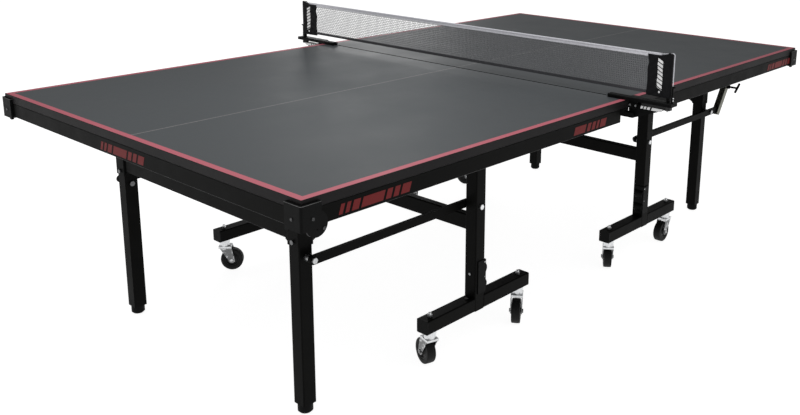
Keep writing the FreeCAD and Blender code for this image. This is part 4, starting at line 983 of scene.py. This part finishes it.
def tape_half():
    """Half thickness of the top tape from its open edge to its fold: a flat skirt with a thick selvedge,
    a hollow sewn line and a round bead over the cord, closed at the fold as a quarter ellipse."""
    share = np.linspace(0, 1, 31)
    bead = 0.0009 * np.exp(-((share - 0.78) / 0.17) ** 2)
    selvedge = 0.0004 * np.exp(-((share - 0.12) / 0.12) ** 2)
    half = 0.0011 + bead + selvedge
    return half * np.sqrt(np.clip(1 - np.clip((share - 0.86) / 0.14, 0, 1) ** 2, 0.004, 1))


def hem_half(thickness):
    """Half thickness of the hem: flat, and closed at the fold as a quarter ellipse."""
    share = np.linspace(0, 1, 15)
    return thickness / 2 * np.sqrt(np.clip(1 - np.clip((share - 0.84) / 0.16, 0, 1) ** 2, 0.004, 1))


class SewSleeves(bpy.types.Operator):
    """Sew the black sleeves that pull over the net posts."""

    bl_idname = "table.sew_sleeves"
    bl_label = "Sew sleeves"

    def execute(self, context):
        net = context.scene.net_set
        body = NODES["net_sleeves"]["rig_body"]
        cloth = sleeve_cloth(net, context.scene.marks)
        for number, side in enumerate(SIDES, 1):
            points, flat = sleeve_points(net, side)
            bag = surface("net_sleeve_%d" % number, points, True, False, cloth, metre_uv(points))
            thick = bag.modifiers.new("cloth", "SOLIDIFY")
            thick.thickness = net.cloth
            thick.offset = -1
            ride(bag, body, "net_sleeve", *(("net_sleeves",) if number == 1 else ()))
        return {"FINISHED"}


def sleeve_points(net, side):
    """Grid of one sleeve, from its hem up, and its flat size. The cross-section is a loose loop: a half
    circle round the post, straight panels, and a narrow half circle at the sewn inner edge. The sewn edge
    wanders in as it rises, and the panels carry shallow slanted folds that fade near both edges."""
    inner = MESH_HIGH.y
    outer = BAG_HIGH.y
    low = BAG_LOW.z
    high = BAG_HIGH.z
    crest = 0.010
    rise = np.concatenate([np.linspace(0, 1, 61), [1.0, 1.0]])
    curl = np.concatenate([np.ones(61), [0.80, 0.55]])
    ring_share = np.linspace(0, 1, 140, endpoint=False)
    narrow = 0.0014
    wide = net.bag_post
    panel = outer - wide - inner - narrow
    arc_out = math.pi * wide
    arc_in = math.pi * narrow
    total = arc_out + arc_in + 2 * panel
    travel = ring_share * total
    y = np.zeros_like(travel)
    x = np.zeros_like(travel)
    front = travel < panel
    round_post = (travel >= panel) & (travel < panel + arc_out)
    back = (travel >= panel + arc_out) & (travel < 2 * panel + arc_out)
    seam = travel >= 2 * panel + arc_out
    slope = (wide - narrow) / panel
    y[front] = inner + narrow + travel[front]
    x[front] = -(narrow + slope * travel[front])
    turn = (travel[round_post] - panel) / wide
    y[round_post] = outer - wide + wide * np.sin(turn)
    x[round_post] = -wide * np.cos(turn)
    left = travel[back] - panel - arc_out
    y[back] = outer - wide - left
    x[back] = wide - slope * left
    turn = (travel[seam] - 2 * panel - arc_out) / narrow
    y[seam] = inner + narrow - narrow * np.sin(turn)
    x[seam] = narrow * np.cos(turn)
    z = low + (high - low) * rise
    share = np.clip((y - inner) / (outer - inner), 0, 1)
    fade = np.sin(math.pi * np.clip(share / 0.80, 0, 1)) ** 0.7
    folds = 0.0011 * np.sin(TURN * (2.1 * rise[:, None] + 1.3 * share[None, :]))
    folds += 0.0007 * np.sin(TURN * (5.3 * rise[:, None] - 2.2 * share[None, :]) + 1.0)
    edge = 0.0045 * np.exp(-((rise - 0.80) / 0.09) ** 2) + 0.0020 * np.exp(-((rise - 0.35) / 0.2) ** 2)
    pull = (1 - share) ** 3
    points = np.zeros((len(rise), len(travel), 3))
    points[:, :, 0] = curl[:, None] * (x[None, :] + np.sign(x)[None, :] * folds * fade[None, :])
    points[:, :, 1] = y[None, :] + edge[:, None] * pull[None, :]
    rising = np.clip((share - 0.5) / 0.42, 0, 1)
    rim = crest * rising ** 2 * (3 - 2 * rising)
    rim -= 0.006 * np.exp(-(x / 0.004) ** 2) * (share > 0.93)
    points[:, :, 2] = z[:, None] + rim[None, :] * (rise[:, None] ** 3)
    points[:, :, 1] *= side
    if side > 0:
        points = points[:, ::-1]
    return points, (total, high - low)


class FitCords(bpy.types.Operator):
    """Finish the white tension cords."""

    bl_idname = "table.fit_cords"
    bl_label = "Fit cords"

    def execute(self, context):
        dress(braided_cord(context.scene.net_set), "net_cords")
        return {"FINISHED"}


def slanted_bars(name, starts, widths, low, high, slant, film, to_place, material):
    """Row of slanted bars as thin prisms: each bar's corners are (along, up, off the face), and to_place
    turns those three columns into a place on the table."""
    starts = np.array(starts)
    ends = starts + np.array(widths)
    lean = slant * (high - low)
    corners = np.array([(0, 0), (1, 0), (1, 1), (0, 1)])
    along = np.where(corners[None, :, 0] == 1, ends[:, None], starts[:, None]) + lean * corners[None, :, 1]
    up = low + (high - low) * corners[None, :, 1] + np.zeros_like(along)
    layers = [np.stack([along, up, np.full_like(along, off)], axis=-1) for off in (0.0, film)]
    points = np.concatenate(layers, axis=1)
    index = np.arange(len(starts) * 8).reshape(-1, 8)
    order = np.array([(4, 5, 6, 7), (3, 2, 1, 0), (0, 1, 5, 4), (1, 2, 6, 5), (2, 3, 7, 6), (3, 0, 4, 7)])
    faces = index[:, order].reshape(-1, 4)
    piece = finished(name, to_place(points.reshape(-1, 3)), faces.tolist(), material)
    piece.data.polygons.foreach_set("use_smooth", np.zeros(len(piece.data.polygons), bool))
    return piece


def on_near_side(points):
    """Along X, up Z, outwards at -Y."""
    return np.stack([points[:, 0], APRON_LOW.y - points[:, 2], points[:, 1]], axis=1)


def on_end(points):
    """Along -Y, up Z, outwards at -X."""
    return np.stack([APRON_LOW.x - points[:, 2], -points[:, 0], points[:, 1]], axis=1)


# Rows of bars as (starts, widths), and where the rows stand.
LONG_ROW = ((0.0, 0.020, 0.040, 0.070, 0.150, 0.176, 0.202),
            (0.012, 0.012, 0.022, 0.072, 0.018, 0.018, 0.030))
SHORT_ROW = ((0.0, 0.070, 0.096, 0.122, 0.142), (0.060, 0.018, 0.018, 0.012, 0.032))
LEVER_ROW = ((0.0, 0.012, 0.024, 0.040), (0.008, 0.008, 0.010, 0.038))
SIDE_MARK_RISE = 0.008
END_MARK_RISE = 0.007
MARK_HEIGHT = 0.025
LEVER_MARK_LEVELS = (0.7385, 0.7480)
LEVER_MARK_REACH = 0.048
LEVER_FACE_DEPTH = 0.013


class ApplyMarks(bpy.types.Operator):
    """Apply plain slanted bars to the aprons and the clamp levers."""

    bl_idname = "table.apply_marks"
    bl_label = "Apply marks"

    def execute(self, context):
        marks = context.scene.marks
        red = printed_film("mark_red", marks.red)
        white = printed_film("mark_white", marks.white)
        base = APRON_LOW.z
        for name, body, start, rise, row, to_place in (
                ("apron_mark_a1", "board_a", -1.262, SIDE_MARK_RISE, LONG_ROW, on_near_side),
                ("apron_mark_a2", "board_a", -0.316, SIDE_MARK_RISE, SHORT_ROW, on_near_side),
                ("apron_mark_b1", "board_b", 1.090, SIDE_MARK_RISE, LONG_ROW, on_near_side),
                ("apron_mark_a3", "board_a", -0.140, END_MARK_RISE, LONG_ROW, on_end)):
            starts = [start + x for x in row[0]]
            piece = slanted_bars(name, starts, row[1], base + rise, base + rise + MARK_HEIGHT, marks.slant,
                                 marks.film, to_place, red)
            ride(piece, body, "black_steel")
        self.lever_marks(marks, white)
        return {"FINISHED"}

    def lever_marks(self, marks, white):
        """Small bars on the face of each clamp lever that looks towards half A's end."""
        face = LEVER_LOW.x + LEVER_FACE_DEPTH
        for number, side in enumerate(SIDES, 1):
            def on_lever(points, side=side):
                """Along |Y|, up Z, outwards at -X."""
                reach = HALF_WIDTH + LEVER_MARK_REACH + points[:, 0]
                return np.stack([face - points[:, 2], side * reach, points[:, 1]], axis=1)
            piece = slanted_bars("lever_mark_%d" % number, *LEVER_ROW, *LEVER_MARK_LEVELS, marks.slant,
                                 marks.film, on_lever, white)
            ride(piece, NODES["clamp_lever_%d" % number]["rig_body"], "black_clamp")


FLOOR_REACH = 14.0
FLOOR_GAP = 0.0005
# Soft boxes as (place, what it faces, width, height).
TOP_BOX = ((-0.85, -0.35, 2.25), (-0.85, -0.35, 0.76), 1.9, 1.5)
FAR_BOX = ((2.8, 3.5, 1.35), (0.2, 0.4, 0.76), 1.3, 0.9)


class SetStudio(bpy.types.Operator):
    """Set the pale floor, the soft lights and the camera."""

    bl_idname = "table.set_studio"
    bl_label = "Set studio"

    def execute(self, context):
        studio = context.scene.studio
        side = np.linspace(-FLOOR_REACH, FLOOR_REACH, 5)
        x, y = np.meshgrid(side, side, indexing="ij")
        points = np.stack([x, y, np.full_like(x, -FLOOR_GAP)], axis=-1)
        floor = surface("studio_floor", points[:, ::-1], False, False, studio_floor(studio.floor))
        self.world(context.scene, studio.ambient)
        self.soft_box("soft_box_top", *TOP_BOX, studio.soft_box)
        self.soft_box("soft_box_far", *FAR_BOX, studio.far_box)
        self.camera(context.scene, studio)
        context.scene.view_settings.view_transform = "Standard"
        return {"FINISHED"}

    def world(self, scene, strength):
        """Even white light from all round."""
        world = bpy.data.worlds.new("studio_world")
        world.use_nodes = True
        background = world.node_tree.nodes["Background"]
        background.inputs["Color"].default_value = (1.0, 1.0, 1.0, 1.0)
        background.inputs["Strength"].default_value = strength
        scene.world = world

    def soft_box(self, name, place_at, target, width, height, power):
        """Rectangular area light that faces a point."""
        light = bpy.data.lights.new(name, "AREA")
        light.shape = "RECTANGLE"
        light.size = width
        light.size_y = height
        light.energy = power
        lamp = bpy.data.objects.new(name, light)
        lamp.location = place_at
        lamp.rotation_euler = (Vector(target) - Vector(place_at)).to_track_quat("-Z", "Y").to_euler()
        bpy.context.scene.collection.objects.link(lamp)

    def camera(self, scene, studio):
        """Camera set by its place, its aim and the direction to its right."""
        back = -Vector(studio.heading).normalized()
        right = Vector(studio.right).normalized()
        up = back.cross(right)
        lens = bpy.data.cameras.new("camera")
        lens.sensor_width = 36.0
        lens.lens = studio.lens
        lens.shift_x, lens.shift_y = studio.shift
        lens.clip_end = 100.0
        camera = bpy.data.objects.new("camera", lens)
        turn = Matrix((right, up, back)).transposed().to_4x4()
        camera.matrix_world = Matrix.Translation(Vector(studio.eye)) @ turn
        scene.collection.objects.link(camera)
        scene.camera = camera


OPERATORS = (PaintBoards, CoatSteel, FinishPlastics, PlateHardware, TurnWheels, WeaveNet, SewTapes,
             SewSleeves, FitCords, ApplyMarks, SetStudio)
GROUPS = {"board_paint": BoardPaint, "frame_finish": FrameFinish, "net_set": NetSet, "marks": Marks,
          "studio": Studio}


class TablePanel(bpy.types.Panel):
    """Sizes and colours of the table, and the steps that finish it."""

    bl_idname = "VIEW3D_PT_table"
    bl_label = "Ping pong table"
    bl_space_type = "VIEW_3D"
    bl_region_type = "UI"
    bl_category = "Table"

    def draw(self, context):
        for operator in OPERATORS:
            self.layout.operator(operator.bl_idname)
        for name, group in GROUPS.items():
            box = self.layout.box()
            box.label(text=group.__doc__)
            for key in group.__annotations__:
                box.prop(getattr(context.scene, name), key)


def register():
    for group in GROUPS.values():
        bpy.utils.register_class(group)
    for operator in OPERATORS:
        bpy.utils.register_class(operator)
    bpy.utils.register_class(TablePanel)
    for name, group in GROUPS.items():
        setattr(bpy.types.Scene, name, PointerProperty(type=group))


def unregister():
    for name in GROUPS:
        delattr(bpy.types.Scene, name)
    bpy.utils.unregister_class(TablePanel)
    for operator in OPERATORS:
        bpy.utils.unregister_class(operator)
    for group in GROUPS.values():
        bpy.utils.unregister_class(group)


def main():
    """Register and run every step in order."""
    register()
    for operator in OPERATORS:
        group, step = operator.bl_idname.split(".")
        getattr(getattr(bpy.ops, group), step)()


if __name__ == "__main__":
    main()
